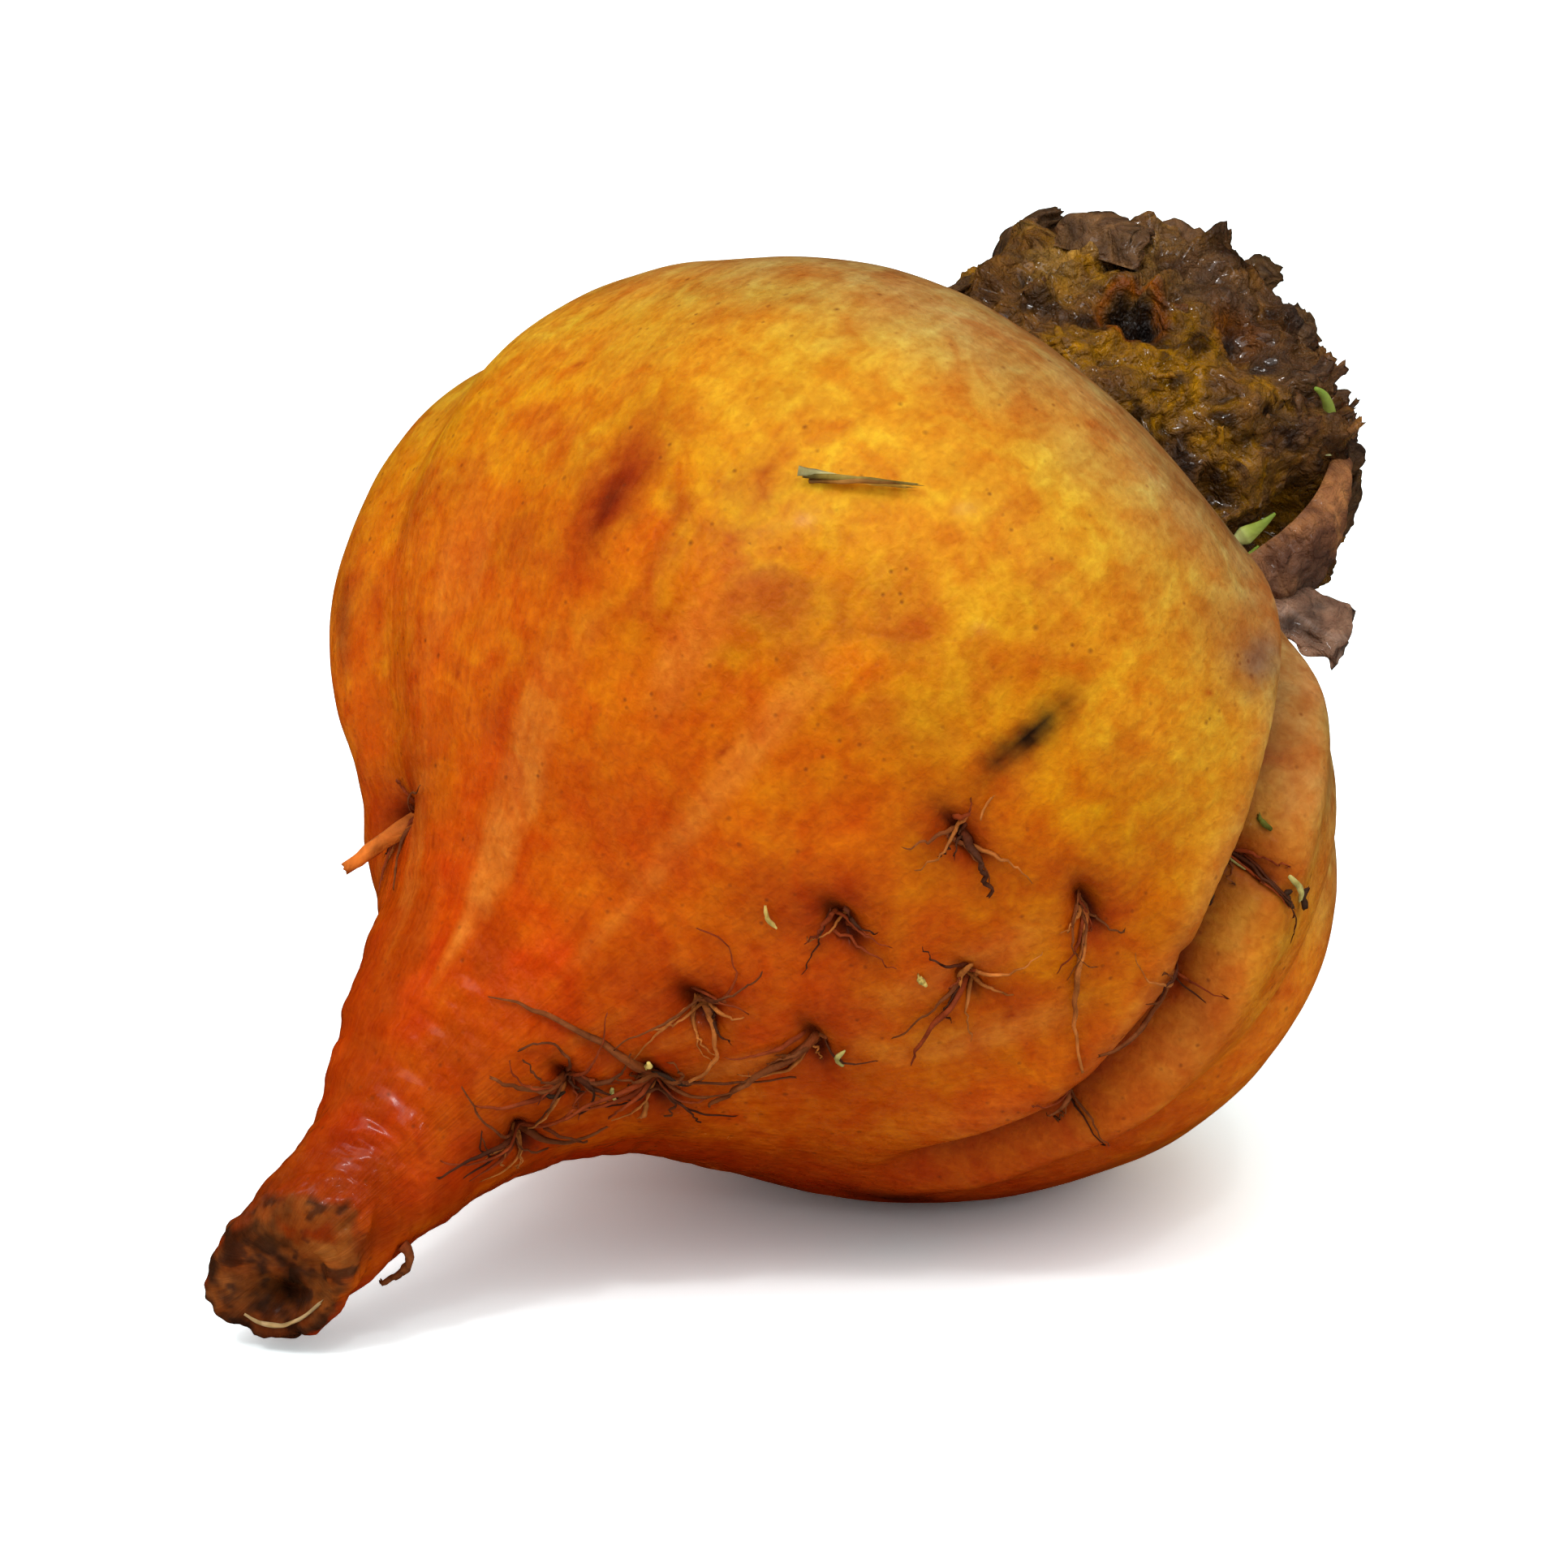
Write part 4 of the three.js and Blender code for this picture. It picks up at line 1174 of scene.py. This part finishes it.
def stub_grid(index, along, around, length, width, thick, lean):
    """A strand from inside the stump, leaning from straight out of it (0) to straight along its
    skin (90), whose width and thickness shrink to its end."""
    steps = [(0, 0, 0), (0, 0, 1), (1, 0, 0), (0, -5, 0), (0, 5, 0)]
    places = np.array(steps) + (along, around, STUB_LIFT)
    base, top, ahead, left, right = crown_spot(places)
    outward, onward = unit(top - base), unit(ahead - base)
    forward = unit(outward * math.cos(math.radians(lean)) + onward * math.sin(math.radians(lean)))
    bowed = base + 0.4 * length * forward + 0.08 * length * outward
    path = [base - STUB_ROOTED * outward, bowed, base + length * forward]
    return strand(
        path, lambda s: 0.5 * width * (1 - 0.3 * s * s), lambda s: 0.5 * thick * (1 - 0.35 * s), right - left,
        rows=44, columns=40, sag=lambda s: 0.12 * width * (1 - s), tear=1.1, bark=0.36, seed=index)


def strand_tint(grid, tones, seed):
    """Two tones mixed along and round a strand by noise, with a darker end."""
    colour = mixed(*tones[::-1], np.clip(0.5 + 0.9 * rough(grid, 2.2, seed), 0, 1))
    end = np.linspace(0, 1, len(grid))[:, None, None] ** 4
    return colour * (1 - 0.35 * end)


stubs = [(along, first + step * k, length, width, thick, lean)
         for along, first, step, count, length, width, thick, lean in STUB_RINGS for k in range(count)]
for i, (a, t, length, width, thick, lean) in enumerate(stubs):
    size = 1 + STUB_VARIES * math.sin(STUB_STEP * i)
    grid = stub_grid(i + 1, a, t, length * size, width / size, thick, lean)
    name = f"leaf_stalk_stub_{i + 1:02d}"
    tones = STUB_TONES[i % len(STUB_TONES)], STUB_TONES[(i + 2) % len(STUB_TONES)]
    tint = strand_tint(grid, tones, 300 + i)
    show_tinted(name + "_fibres", [grid], [tint], stalk_finish, "old_stalk", name)

# %% [markdown]
# ## The dry leaf base
#
# One leaf's base still clasps the crown: a thin brown sheath, folded like a gutter, with a grey flap
# where it was torn. A sheet that clasps something is easiest to give as a height above it, so it is
# worked out on the stump's own angles, and its width, bow and bulge are half sine waves.

# %% The leaf base sheath
# from its foot to its top along the axis, the angle of its middle and how far that bows out, its
# half width in degrees, how far it stands off at its foot and bulges, and how deep its gutter is
SHEATH = {"foot": 25, "top": 45, "around": 184, "bow": 5, "half": 10, "off": 0.8, "bulge": 3.0, "gutter": 2.2}
SHEATH_THICK = 0.35
# dark and light brown, and two patches: grey near its torn edge, pinkish near its foot. Each patch:
# its middle as a row and a column of the sheet, half width in mm, colour, strength
SHEATH_TONES = (112, 70, 44), (178, 120, 70)
SHEATH_PATCHES = [(30, 34, 5, (72, 58, 50), 0.8), (4, 20, 4, (160, 116, 84), 0.7)]
# a flap torn off its foot stands away: its two ends as along, around and lift, in mm and degrees
FLAP_LINE, FLAP_TONES = [(30, 188, 3.2), (34, 196, 9)], ((152, 116, 92), (84, 66, 56))


def sheath_surface(rows, columns):
    """A sheet round the stump. It widens, bows sideways and bulges by half a sine wave from foot to
    top, and its two rims bend down by the square of their distance from its middle."""
    u, v = np.meshgrid(np.linspace(0, 1, rows), np.linspace(-1, 1, columns), indexing="ij")
    wave = np.sin(math.pi * u)
    along = SHEATH["foot"] + (SHEATH["top"] - SHEATH["foot"]) * u
    half = SHEATH["half"] * (0.6 + 0.5 * wave - 0.25 * u)
    around = SHEATH["around"] + SHEATH["bow"] * wave + half * v
    lift = SHEATH["off"] + SHEATH["bulge"] * wave - SHEATH["gutter"] * (v * v - 0.3) * (0.4 + 0.6 * wave)
    return place(crown_line, crown_line.fraction_at(along), around, np.maximum(lift, 0.3))


def thick_sheet(sheet, thick, seed):
    """A closed skin round an open sheet: once across its front and back again behind, raised by
    half the thickness each way, so that a ring of points runs round each row."""
    across = np.gradient(sheet, axis=1)
    down = np.gradient(sheet, axis=0)
    normal = unit(np.cross(across, down))
    rim = np.sin(np.linspace(0, math.pi, sheet.shape[1]))[None, :, None] ** 0.35
    crumple = (0.5 * rough(sheet, 2.6, seed) + 0.2 * crests(sheet, 1.4, seed + 9))[..., None] * normal
    front, back = sheet + crumple + normal * thick / 2 * rim, sheet + crumple - normal * thick / 2 * rim
    grid = np.concatenate([front, back[:, ::-1]], 1)
    return capped(grid, sheet[0].mean(0), sheet[-1].mean(0))


sheet = sheath_surface(70, 46)
sheath = thick_sheet(sheet, SHEATH_THICK, 101)
torn_flap = strand(crown_spot(FLAP_LINE), lambda s: 2.2 + 0.6 * s, 0.25, AXIS, rows=40, columns=30,
                   sag=0.5, tear=0.9, bark=0.3, seed=103)
sheath_tint = mixed(*SHEATH_TONES, np.clip(0.5 + 0.9 * rough(sheath, 3.0, 102), 0, 1))
for row, column, reach, tone, strength in SHEATH_PATCHES:
    near = bell(np.linalg.norm(sheath - sheet[row, column], axis=-1) / reach)
    sheath_tint = lay(sheath_tint, tone, strength * near)
flap_tint = strand_tint(torn_flap, FLAP_TONES, 104)
show_tinted("leaf_base_sheath", [sheath, torn_flap], [sheath_tint, flap_tint], leaf_finish, "dry_leaf",
            "dry_leaf_base")

# %% [markdown]
# ## Side roots and root hairs
#
# Thin side roots come out of the pits. Most have dried: they are brown, kinked, flat in places and
# lie against the skin. Each is a strand along a route that creeps over the skin from its pit: it
# has a start, a heading, a length and a curl, and is then lifted a little, so it follows every
# bump. Thirteen have a place in the construction model. The rest are hairs, too fine for it, and
# they are joined into one piece.

# %% Routes of the side roots
TAN, BROWN, DARK, RUSTY, ORANGE = (176, 104, 44), (118, 64, 28), (72, 38, 20), (136, 56, 20), (204, 108, 34)
FOOT_RED = (150, 58, 18)


def creep(line, start, heading, length, curl, steps=10):
    """A route as (along, around) from a start. It sets off towards heading, where 0 is the crown
    and 90 is round the root, and turns by curl degrees on its way."""
    angle = np.radians(heading + curl * (np.arange(steps) + 0.5) / steps)
    radius = line.at(line.fraction_at(np.array([start[0]], float)))[1][0]
    along = np.concatenate([[0], np.cumsum(np.cos(angle))]) * length / steps
    round_it = np.concatenate([[0], np.cumsum(np.sin(angle))]) * length / steps / radius
    return np.column_stack([start[0] + along, start[1] + np.degrees(round_it)])


# start, heading, length in mm, curl, radius at the skin and at the tip, lift and colour
TAIL_STUB = (-57, 210)
SIDE_ROOTS = [
    (VALLEY_PIT, 200, 4, 40, 0.85, 1.1, 3.5, ORANGE), (near_pits[6], -100, 16, -10, 0.6, 0.12, 0.35, BROWN),
    (near_pits[0], 130, 14, -40, 0.42, 0.36, 0.35, TAN), (near_pits[1], 90, 5, 20, 0.5, 0.3, 0.8, DARK),
    (near_pits[2], 160, 8, -60, 0.36, 0.2, 0.5, RUSTY), (crease_pits[1], 150, 8, 30, 0.42, 0.24, 0.5, BROWN),
    (near_pits[4], 170, 9, -60, 0.45, 0.3, 0.6, BROWN), (near_pits[5], 80, 8, 70, 0.42, 0.22, 0.5, TAN),
    (near_pits[7], 200, 6, 60, 0.4, 0.2, 0.6, BROWN), (near_pits[8], 60, 6, -80, 0.36, 0.18, 0.5, BROWN),
    (TAIL_STUB, 60, 4, 70, 0.7, 0.4, 1.0, BROWN), (far_pits[2], 170, 9, 20, 0.6, 0.3, 1.2, TAN),
    (far_pits[1], 200, 8, -30, 0.5, 0.25, 1.0, BROWN),
]
HAIRS_PER_PIT, TANGLE_HAIRS = 7, 28
# how far a root wanders off its route: in millimetres along and in degrees around
KINKS = np.array([0.12, 0.24])


def root_path(route, lift, seed, steps=14):
    """A route on the skin, lifted: from just under the skin, up to the lift, and back to half of it
    at the tip, with small kinks."""
    line = curve_through(np.array(route, float), steps)
    s = np.linspace(0, 1, steps)
    kinks = np.random.default_rng(seed).normal(0, 1, (steps, 2)) * KINKS * np.sqrt(s)[:, None]
    rise = lift * (1.2 * np.sin(math.pi * np.minimum(s * 0.85 + 0.02, 1)) ** 0.6) - 0.3 * (1 - s) ** 6
    return on_skin(np.column_stack([line + kinks, rise + 0.08]))


def root_strand(base, tip, lift, route, seed, rows=34, columns=10, path=None):
    """A side root: thick where it leaves the skin, then shrunken, flat and kinked."""
    path = root_path(route, lift, seed) if path is None else path

    def shrunken(share):
        """Half size at s: a share of base at the skin, narrowing by s^0.7 to half of tip."""
        return lambda s: share * (base + (0.5 * tip - base) * s**0.7)

    return strand(path, shrunken(0.95), shrunken(0.6), rows=rows, columns=columns, bark=0.5, seed=seed,
                  tear=0.3)


def one_tone(grid, colour, seed, foot=None):
    """A colour, from 0 to 255 or already linear, that wanders by noise by a third each way. At its
    foot a side root takes the red of the skin round it."""
    linear = paint_colour(*colour) if isinstance(colour, tuple) else colour
    tones = linear * (1 + 0.35 * rough(grid, 1.3, seed))[..., None]
    if foot is None:
        return tones
    share = 0.8 * np.exp(-9 * np.linspace(0, 1, len(grid)))[:, None, None]
    return tones * (1 - share) + paint_colour(*foot) * share


root_finish = flesh_material("dried_side_root", 0.5, 0.0, 0.00012, (0.4, 1.0, 0.4), (0.66, 0.6, 0.54, 1))
print(len(SIDE_ROOTS), "side roots, made of", root_finish.name)

# %% Build the side roots
for i, (start, heading, length, curl, base, tip, lift, colour) in enumerate(SIDE_ROOTS):
    route = creep(root_line, start, heading, length, curl)
    # the first root stands up, so its lift grows all the way to its tip
    standing = on_skin(np.column_stack([route, np.linspace(-0.5, lift, len(route))])) if i == 0 else None
    grid = root_strand(base, tip, lift, route, 400 + i, path=standing)
    name = f"side_root_{i + 1:02d}"
    tint = one_tone(grid, colour, 430 + i, FOOT_RED)
    show_tinted(name + "_strand", [grid], [tint], root_finish, "side_root", name)


def joined(name, grids, colours, material, slot, foot=None):
    """Many small closed grids as one piece, each with its own colour."""
    tints = [one_tone(g, c, 500 + k, foot) for k, (g, c) in enumerate(zip(grids, colours))]
    return show_tinted(name, grids, tints, material, slot)


hair_grids, hair_colours = [], []
for pit in PITS:
    for _ in range(HAIRS_PER_PIT):
        start = pit[0] + rng.normal(0, 0.4), pit[1] + rng.normal(0, 1.6)
        route = creep(root_line, start, rng.uniform(40, 230), rng.uniform(1.5, 6), rng.normal(0, 60), 5)
        base, lift, seed = rng.uniform(0.16, 0.34), rng.uniform(0.1, 0.7), int(rng.integers(9999))
        hair_grids.append(root_strand(base, 0.1, lift, route, seed, 16, 6))
        hair_colours.append((BROWN, DARK, RUSTY, TAN)[rng.integers(4)])
# a tangle of roots joins the last pits of the near row, where the tail begins
for _ in range(TANGLE_HAIRS):
    start = np.array(near_pits[rng.integers(5, 9)]) + rng.normal(0, 1, 2) * np.array([0.6, 1.6])
    heading = rng.choice([20, 200]) + rng.normal(0, 30)
    route = creep(root_line, start, heading, rng.uniform(3, 8), rng.normal(0, 70), 6)
    base, lift, seed = rng.uniform(0.16, 0.34), rng.uniform(0.3, 1.0), int(rng.integers(9999))
    hair_grids.append(root_strand(base, 0.16, lift, route, seed, 18, 6))
    hair_colours.append((BROWN, DARK, RUSTY, (98, 52, 24))[rng.integers(4)])
joined("root_hairs", hair_grids, hair_colours, root_finish, "side_root", FOOT_RED)
print(len(hair_grids), "hairs")

# %% [markdown]
# ## Fresh shoots
#
# Three pale shoots grow from the crown: a curved one at the leaf base's top, a fat bud and a small
# point. They are strands whose thickness swells and shrinks, and their colour runs from white at
# the foot to green at the tip.

# %% Build the shoots
# foot on the crown, heading, length in mm, curl, lift at its tip, and half widths from foot to tip
SHOOTS = [
    ((44, 178), -60, 7, -80, 3.8, (0.8, 0.66, 0.5, 0.4, 0.16)),
    ((31, 176), 0, 4, -20, 2.6, (0.2, 0.78, 0.42, 0.1)),
    ((30, 183), -30, 3, 0, 2.0, (0.42, 0.36, 0.1)),
]


# white at the foot, yellow-green nearly halfway and green at the tip
SHOOT_STOPS, SHOOT_TONES = (0, 0.45, 1), [(200, 200, 150), (146, 158, 74), (112, 140, 52)]


def tapering(widths):
    """Half width at s, between values spread evenly from one end to the other."""
    return lambda s: np.interp(s, np.linspace(0, 1, len(widths)), widths)


def shoot_tint(grid):
    """The shoot's tones along it, the same all round."""
    s = np.linspace(0, 1, len(grid))
    stops = np.array([paint_colour(*tone) for tone in SHOOT_TONES])
    tones = np.stack([np.interp(s, SHOOT_STOPS, stops[:, k]) for k in range(3)], -1)
    return np.repeat(tones[:, None], grid.shape[1], 1)


shoot_finish = flesh_material("fresh_shoot", 0.3, 0.2, 0.00006, (0.3, 1.0, 0.3), (0.85, 0.88, 0.7, 1))
for i, (foot, heading, length, curl, lift, widths) in enumerate(SHOOTS):
    route = creep(crown_line, foot, heading, length, curl, 6)
    path = crown_spot(np.column_stack([route, np.linspace(0.4, lift, len(route))]))
    grid = strand(path, tapering(widths), rows=36, columns=16, bark=0.1, seed=i)
    name = f"green_shoot_{i + 1:02d}"
    show_tinted(name + "_stem", [grid], [shoot_tint(grid)], shoot_finish, "green_shoot", name)

# %% [markdown]
# ## Straw and crumbs
#
# A flake of straw has stuck to the skin, and so have crumbs of leaf and seed. The straw is a flat
# strand, split at one end. The crumbs are tiny strands too, bent and fat, on the skin and crown.

# %% Build the straw
STRAW = {"start": (-3, 117), "heading": 60, "length": 8}
# offset sideways in degrees, share of the length, lift at each end, half widths, colour
STRAW_FIBRES = [
    (-0.5, 0.4, (1.2, 0.5), (0.42, 0.3, 0.2, 0.1), (196, 190, 138)),
    (0.2, 1.0, (0.9, 1.2), (0.2, 0.26, 0.16, 0.08), (126, 108, 50)),
    (0.0, 0.95, (0.8, 0.4), (0.2, 0.24, 0.22, 0.1), (206, 160, 64)),
    (0.8, 0.8, (0.5, 1.5), (0.2, 0.26, 0.2, 0.06), (138, 94, 42)),
]


def straw_path(offset, share, lifts):
    """A fibre of the straw: a creeping route, lifted from one height to another."""
    a, t = STRAW["start"]
    route = creep(root_line, (a, t + offset), STRAW["heading"], STRAW["length"] * share, 0, 5)
    return on_skin(np.column_stack([route, np.linspace(*lifts, len(route))]))


straw_wide = on_skin([(4, 118, 0)])[0] - on_skin([(-1, 123, 0)])[0]
straw_finish = flesh_material("dry_straw", 0.5, 0.0, 0.00008, (0.3, 1.0, 0.3), (0.7, 0.66, 0.5, 1))
straw_parts, straw_tints = [], []
for k, (offset, share, lifts, widths, tone) in enumerate(STRAW_FIBRES):
    fibre = strand(straw_path(offset, share, lifts), tapering(widths), 0.1, straw_wide, rows=36, columns=10,
                   sag=0.08, tear=0.9, bark=0.4, seed=3 + k)
    light, dark = tuple(min(1.15 * v, 250) for v in tone), tuple(0.75 * v for v in tone)
    straw_parts.append(fibre)
    straw_tints.append(strand_tint(fibre, (light, dark), 520))
show_tinted("straw_flake", straw_parts, straw_tints, straw_finish, "straw", "straw_bit")

# %% Build the crumbs
GREEN, PALE_GREEN, YELLOW, SOIL = (104, 110, 40), (168, 160, 96), (196, 172, 96), (58, 38, 26)
CRUMB_COUNT, CRUMB_TONES = 20, (GREEN, PALE_GREEN, SOIL, YELLOW, SOIL, TAN)
# a thin scrap of pale fibre lies along the low rim of the cut
SCRAP_OUT, SCRAP_ANGLES, SCRAP_TONE = 3.8, np.linspace(318, 228, 6), (176, 148, 110)
SCRAP_WIDTHS, SCRAP_THICK = (0.1, 0.14, 0.2, 0.3, 0.16, 0.08), 0.12


def bead(radius):
    """Half width at s of a bead: fat in the middle and blunt at both ends, by half a sine wave."""
    return lambda s: 0.85 * radius * np.sin(math.pi * (0.06 + 0.88 * s)) ** 0.5


crumb_grids, crumb_colours = [], []
for k in range(CRUMB_COUNT):
    pit = PIT_PLACES[rng.integers(len(PIT_PLACES))]
    start = pit[0] + rng.normal(0, 1.5), pit[1] + rng.normal(0, 4)
    route = creep(root_line, start, rng.uniform(0, 360), rng.uniform(0.6, 2.6), rng.normal(0, 60), 3)
    path = on_skin(np.column_stack([route, rng.uniform(0.2, 0.8, len(route))]))
    half = bead(rng.uniform(0.12, 0.32))
    crumb_grids.append(strand(path, half, rows=16, columns=9, bark=0.5, tear=0.3, seed=k))
    crumb_colours.append(CRUMB_TONES[rng.integers(len(CRUMB_TONES))])
rim_path = skin(SCRAP_OUT / root_line.length, SCRAP_ANGLES, 0.35)
crumb_grids.append(strand(rim_path, tapering(SCRAP_WIDTHS), SCRAP_THICK, AXIS, rows=40, columns=9,
                          bark=0.9, tear=0.6, seed=77))
crumb_colours.append(SCRAP_TONE)
joined("crumbs", crumb_grids, crumb_colours, straw_finish, "straw")
print(CRUMB_COUNT, "crumbs and a scrap of fibre")

# %% [markdown]
# ## Flakes of the crown
#
# Shreds of old leaf stand off the crown everywhere, thin and curled. Each flake is a short, wide
# strand, a few dozen faces. A seeded generator scatters them, so that they fall in the same places
# each time, and more of them stand beside the leaf base, where old leaves sat closest.

# %% Build the flakes
# flakes all over the stump, how far along it they lie, and how far along its middle is
FLAKE_COUNT, FLAKES_ALONG, CROWN_MIDDLE = 110, (28, 55), 38
# more of them beside the leaf base
RUFFLES = {"along": (41, 51), "around": (154, 182), "count": 26}


def scattered_flake(i, j, half, length, spread):
    """A curled shred that grows from a point of the stump's grid, out of it and along it."""
    base = crown_points[i, j]
    outward = unit(np.cross(crown_points[i, j + 1] - crown_points[i, j - 1],
                            crown_points[i + 2, j] - crown_points[i - 2, j]))
    outward = outward * np.sign(outward @ (base - WIDEST_RING - AXIS * CROWN_MIDDLE))
    sideways = unit(np.cross(AXIS, outward))
    spin = rng.normal(0, spread)
    lean = math.radians(rng.uniform(70, 96))
    heading = unit(AXIS * math.cos(spin) + sideways * math.sin(spin))
    forward = unit(outward * math.cos(lean) + heading * math.sin(lean))
    curl = rng.uniform(-0.25, 0.4) * length
    base = base - 0.35 * outward
    middle = base + 0.5 * length * forward + 0.3 * curl * outward
    path = [base, middle, base + length * forward + 0.6 * curl * outward]
    return strand(path, lambda s: half * (1 - 0.35 * s), rng.uniform(0.14, 0.34), np.cross(forward, outward),
                  rows=8, columns=7, sag=0.3 * half, tear=0.5, bark=0.35, seed=int(rng.integers(9999)))


def flake_spots(count, along, around, half, length, spread):
    """Places on the stump as (along, around), with each flake's half width, length and spread."""
    ranges = (along, around, half, length)
    return [(*(rng.uniform(*bounds) for bounds in ranges), spread) for _ in range(count)]


flake_grids, flake_colours = [], []
spots = flake_spots(FLAKE_COUNT, FLAKES_ALONG, (0, 360), (0.3, 0.8), (0.8, 1.8), 0.9)
spots += flake_spots(RUFFLES["count"], RUFFLES["along"], RUFFLES["around"], (0.6, 1.0), (1.0, 1.8), 0.5)
for a, t, half, length, spread in spots:
    j = 1 + int(t / 360 * (CROWN_COLUMNS - 2))
    i = int(np.argmin(np.abs(crown_along[:, j] - a)))
    flake_grids.append(scattered_flake(min(i, CROWN_ROWS - 3), j, half, length, spread))
    flake_colours.append(crown_colour[i, j] * rng.uniform(0.75, 1.5))
joined("crown_flakes", flake_grids, flake_colours, stalk_finish, "old_stalk")
print(len(flake_grids), "flakes")

# %% [markdown]
# ## Floor, light and camera
#
# A pale floor that curves up at its far edge has no horizon line. It looks brighter to the camera
# than to the object, so it stays white without bouncing too much light on the belly. Very wide
# lights fill the shadows and are hidden from reflections. Three small lamps and two soft boxes give
# the skin its highlights.

# %% Floor
FLOOR_FLAT, FLOOR_BEND, FLOOR_COLUMNS = 1600, 900, 96
FLAT_RINGS, BENT_RINGS = 12, 24


def floor_grid():
    """A round floor: flat to 1.6 m, then a quarter circle up. Rings of points from the middle."""
    flat = np.linspace(0, FLOOR_FLAT, FLAT_RINGS)
    bend = np.linspace(0, math.pi / 2, BENT_RINGS)[1:]
    reach = np.concatenate([flat, FLOOR_FLAT + FLOOR_BEND * np.sin(bend)])[:, None]
    rise = np.concatenate([np.zeros(FLAT_RINGS), FLOOR_BEND * (1 - np.cos(bend))])
    angle = np.linspace(0, 2 * math.pi, FLOOR_COLUMNS, endpoint=False)
    rise = np.repeat(rise[:, None], FLOOR_COLUMNS, 1)
    return np.stack([reach * np.cos(angle), reach * np.sin(angle), rise], -1)


def floor_mesh():
    """The floor's grid: quads between its rings, and a fan of triangles round the middle."""
    grid = floor_grid()[1:]
    rows, columns = grid.shape[:2]
    i, j = np.meshgrid(np.arange(rows - 1), np.arange(columns), indexing="ij")
    a, b = 1 + i * columns + j, 1 + i * columns + (j + 1) % columns
    quads = np.stack([a, a + columns, b + columns, b], -1).reshape(-1, 4).tolist()
    fan = [(0, 1 + k, 1 + (k + 1) % columns) for k in range(columns)]
    mesh = bpy.data.meshes.new("floor")
    points = np.concatenate([[[0, 0, 0]], grid.reshape(-1, 3)]) * MM
    mesh.from_pydata(points.tolist(), [], quads + fan)
    mesh.shade_smooth()
    return mesh


# what the object sees of the floor, and what the camera sees: two tones, softly mixed
FLOOR_GREY, FLOOR_SEEN = (205, 205, 205), ((1.38, 1.49, 1.5, 1), (1.41, 1.53, 1.54, 1))
floor_material, tree, shader = new_finish("pale_floor", Roughness=0.9)
shade = use(tree, BLOTCHES, vector=object_place(tree), size=0.4, detail=2.0, sharpness=1.0, warp=0.0)
straight = add(tree, "ShaderNodeLightPath").outputs["Is Camera Ray"]
floor_colour = blend(tree, straight, rgba(*FLOOR_GREY), blend(tree, shade, *FLOOR_SEEN))
tree.links.new(floor_colour, shader.inputs["Base Color"])
floor = put("floor", floor_mesh())
floor.data.materials.append(floor_material)
floor.visible_glossy = False
print("floor reaches 2.5 m")

# %% Lights and camera
CAMERA_TURN, CAMERA_RISE, CAMERA_DISTANCE = -43.5, 18.0, 0.36
CAMERA_AIM = np.array([-11.9, 5.2, 35.3]) * MM
CAMERA_LENS, CAMERA_SENSOR, SKY_STRENGTH = 100, 36, 0.8


def direction(turn_degrees, rise_degrees):
    """The way from the aim to a camera or light: turn 0 is at -Y, positive turns go towards +X."""
    a, e = math.radians(turn_degrees), math.radians(rise_degrees)
    return np.array([math.sin(a) * math.cos(e), -math.cos(a) * math.cos(e), math.sin(e)])


def aim(item, spot, target):
    """Puts an object at a spot, looking at a target."""
    item.location = spot
    item.rotation_euler = mathutils.Vector(spot - target).to_track_quat("Z", "Y").to_euler()


# distant lights: name, turn and rise, width in degrees, strength. The three wide ones are as even
# as a lit ceiling. They fill the shadows but are hidden from reflections, as if polarised, so that
# the gloss shows only the softboxes and the lamps
DISTANT_LIGHTS = [
    ("ceiling", -46, 80, 60, 0.75), ("window", -62, 36, 60, 0.4), ("right_window", 20, 16, 60, 0.45),
    ("lamp", -80, 55, 5, 0.35), ("small_lamp", -20, 62, 4, 0.15), ("low_lamp", -30, 30, 4, 0.08),
]
# a distant light is wide from this many degrees on
WIDE = 30
# name, turn and rise, width and height in metres, power in watts, all from this far away
SOFTBOXES = [("left_softbox", -88, 52, (0.36, 0.36), 1.0), ("right_softbox", 0, 50, (0.2, 0.5), 0.5)]
SOFTBOX_DISTANCE = 0.9

for name, turned, rise, width, strength in DISTANT_LIGHTS:
    lamp = bpy.data.lights.new(name, "SUN")
    lamp.angle, lamp.energy = math.radians(width), strength
    item = put(name, lamp)
    item.visible_glossy = width < WIDE
    aim(item, direction(turned, rise), np.zeros(3))
for name, turned, rise, size, power in SOFTBOXES:
    lamp = bpy.data.lights.new(name, "AREA")
    lamp.shape, lamp.energy = "RECTANGLE", power
    lamp.size, lamp.size_y = size
    aim(put(name, lamp), CAMERA_AIM + direction(turned, rise) * SOFTBOX_DISTANCE, CAMERA_AIM)

world = bpy.data.worlds.new("studio")
bpy.context.scene.world = world
world.use_nodes = True
world.cycles_visibility.glossy = False
sky = world.node_tree.nodes["Background"].inputs
sky["Color"].default_value, sky["Strength"].default_value = (1, 1, 1, 1), SKY_STRENGTH

camera_data = bpy.data.cameras.new("camera")
camera_data.lens, camera_data.sensor_width = CAMERA_LENS, CAMERA_SENSOR
camera_data.clip_start = 0.01
camera = put("camera", camera_data)
aim(camera, CAMERA_AIM + direction(CAMERA_TURN, CAMERA_RISE) * CAMERA_DISTANCE, CAMERA_AIM)
bpy.context.scene.camera = camera
bpy.context.scene.view_settings.view_transform = "Standard"
print("camera", CAMERA_DISTANCE, "m away")
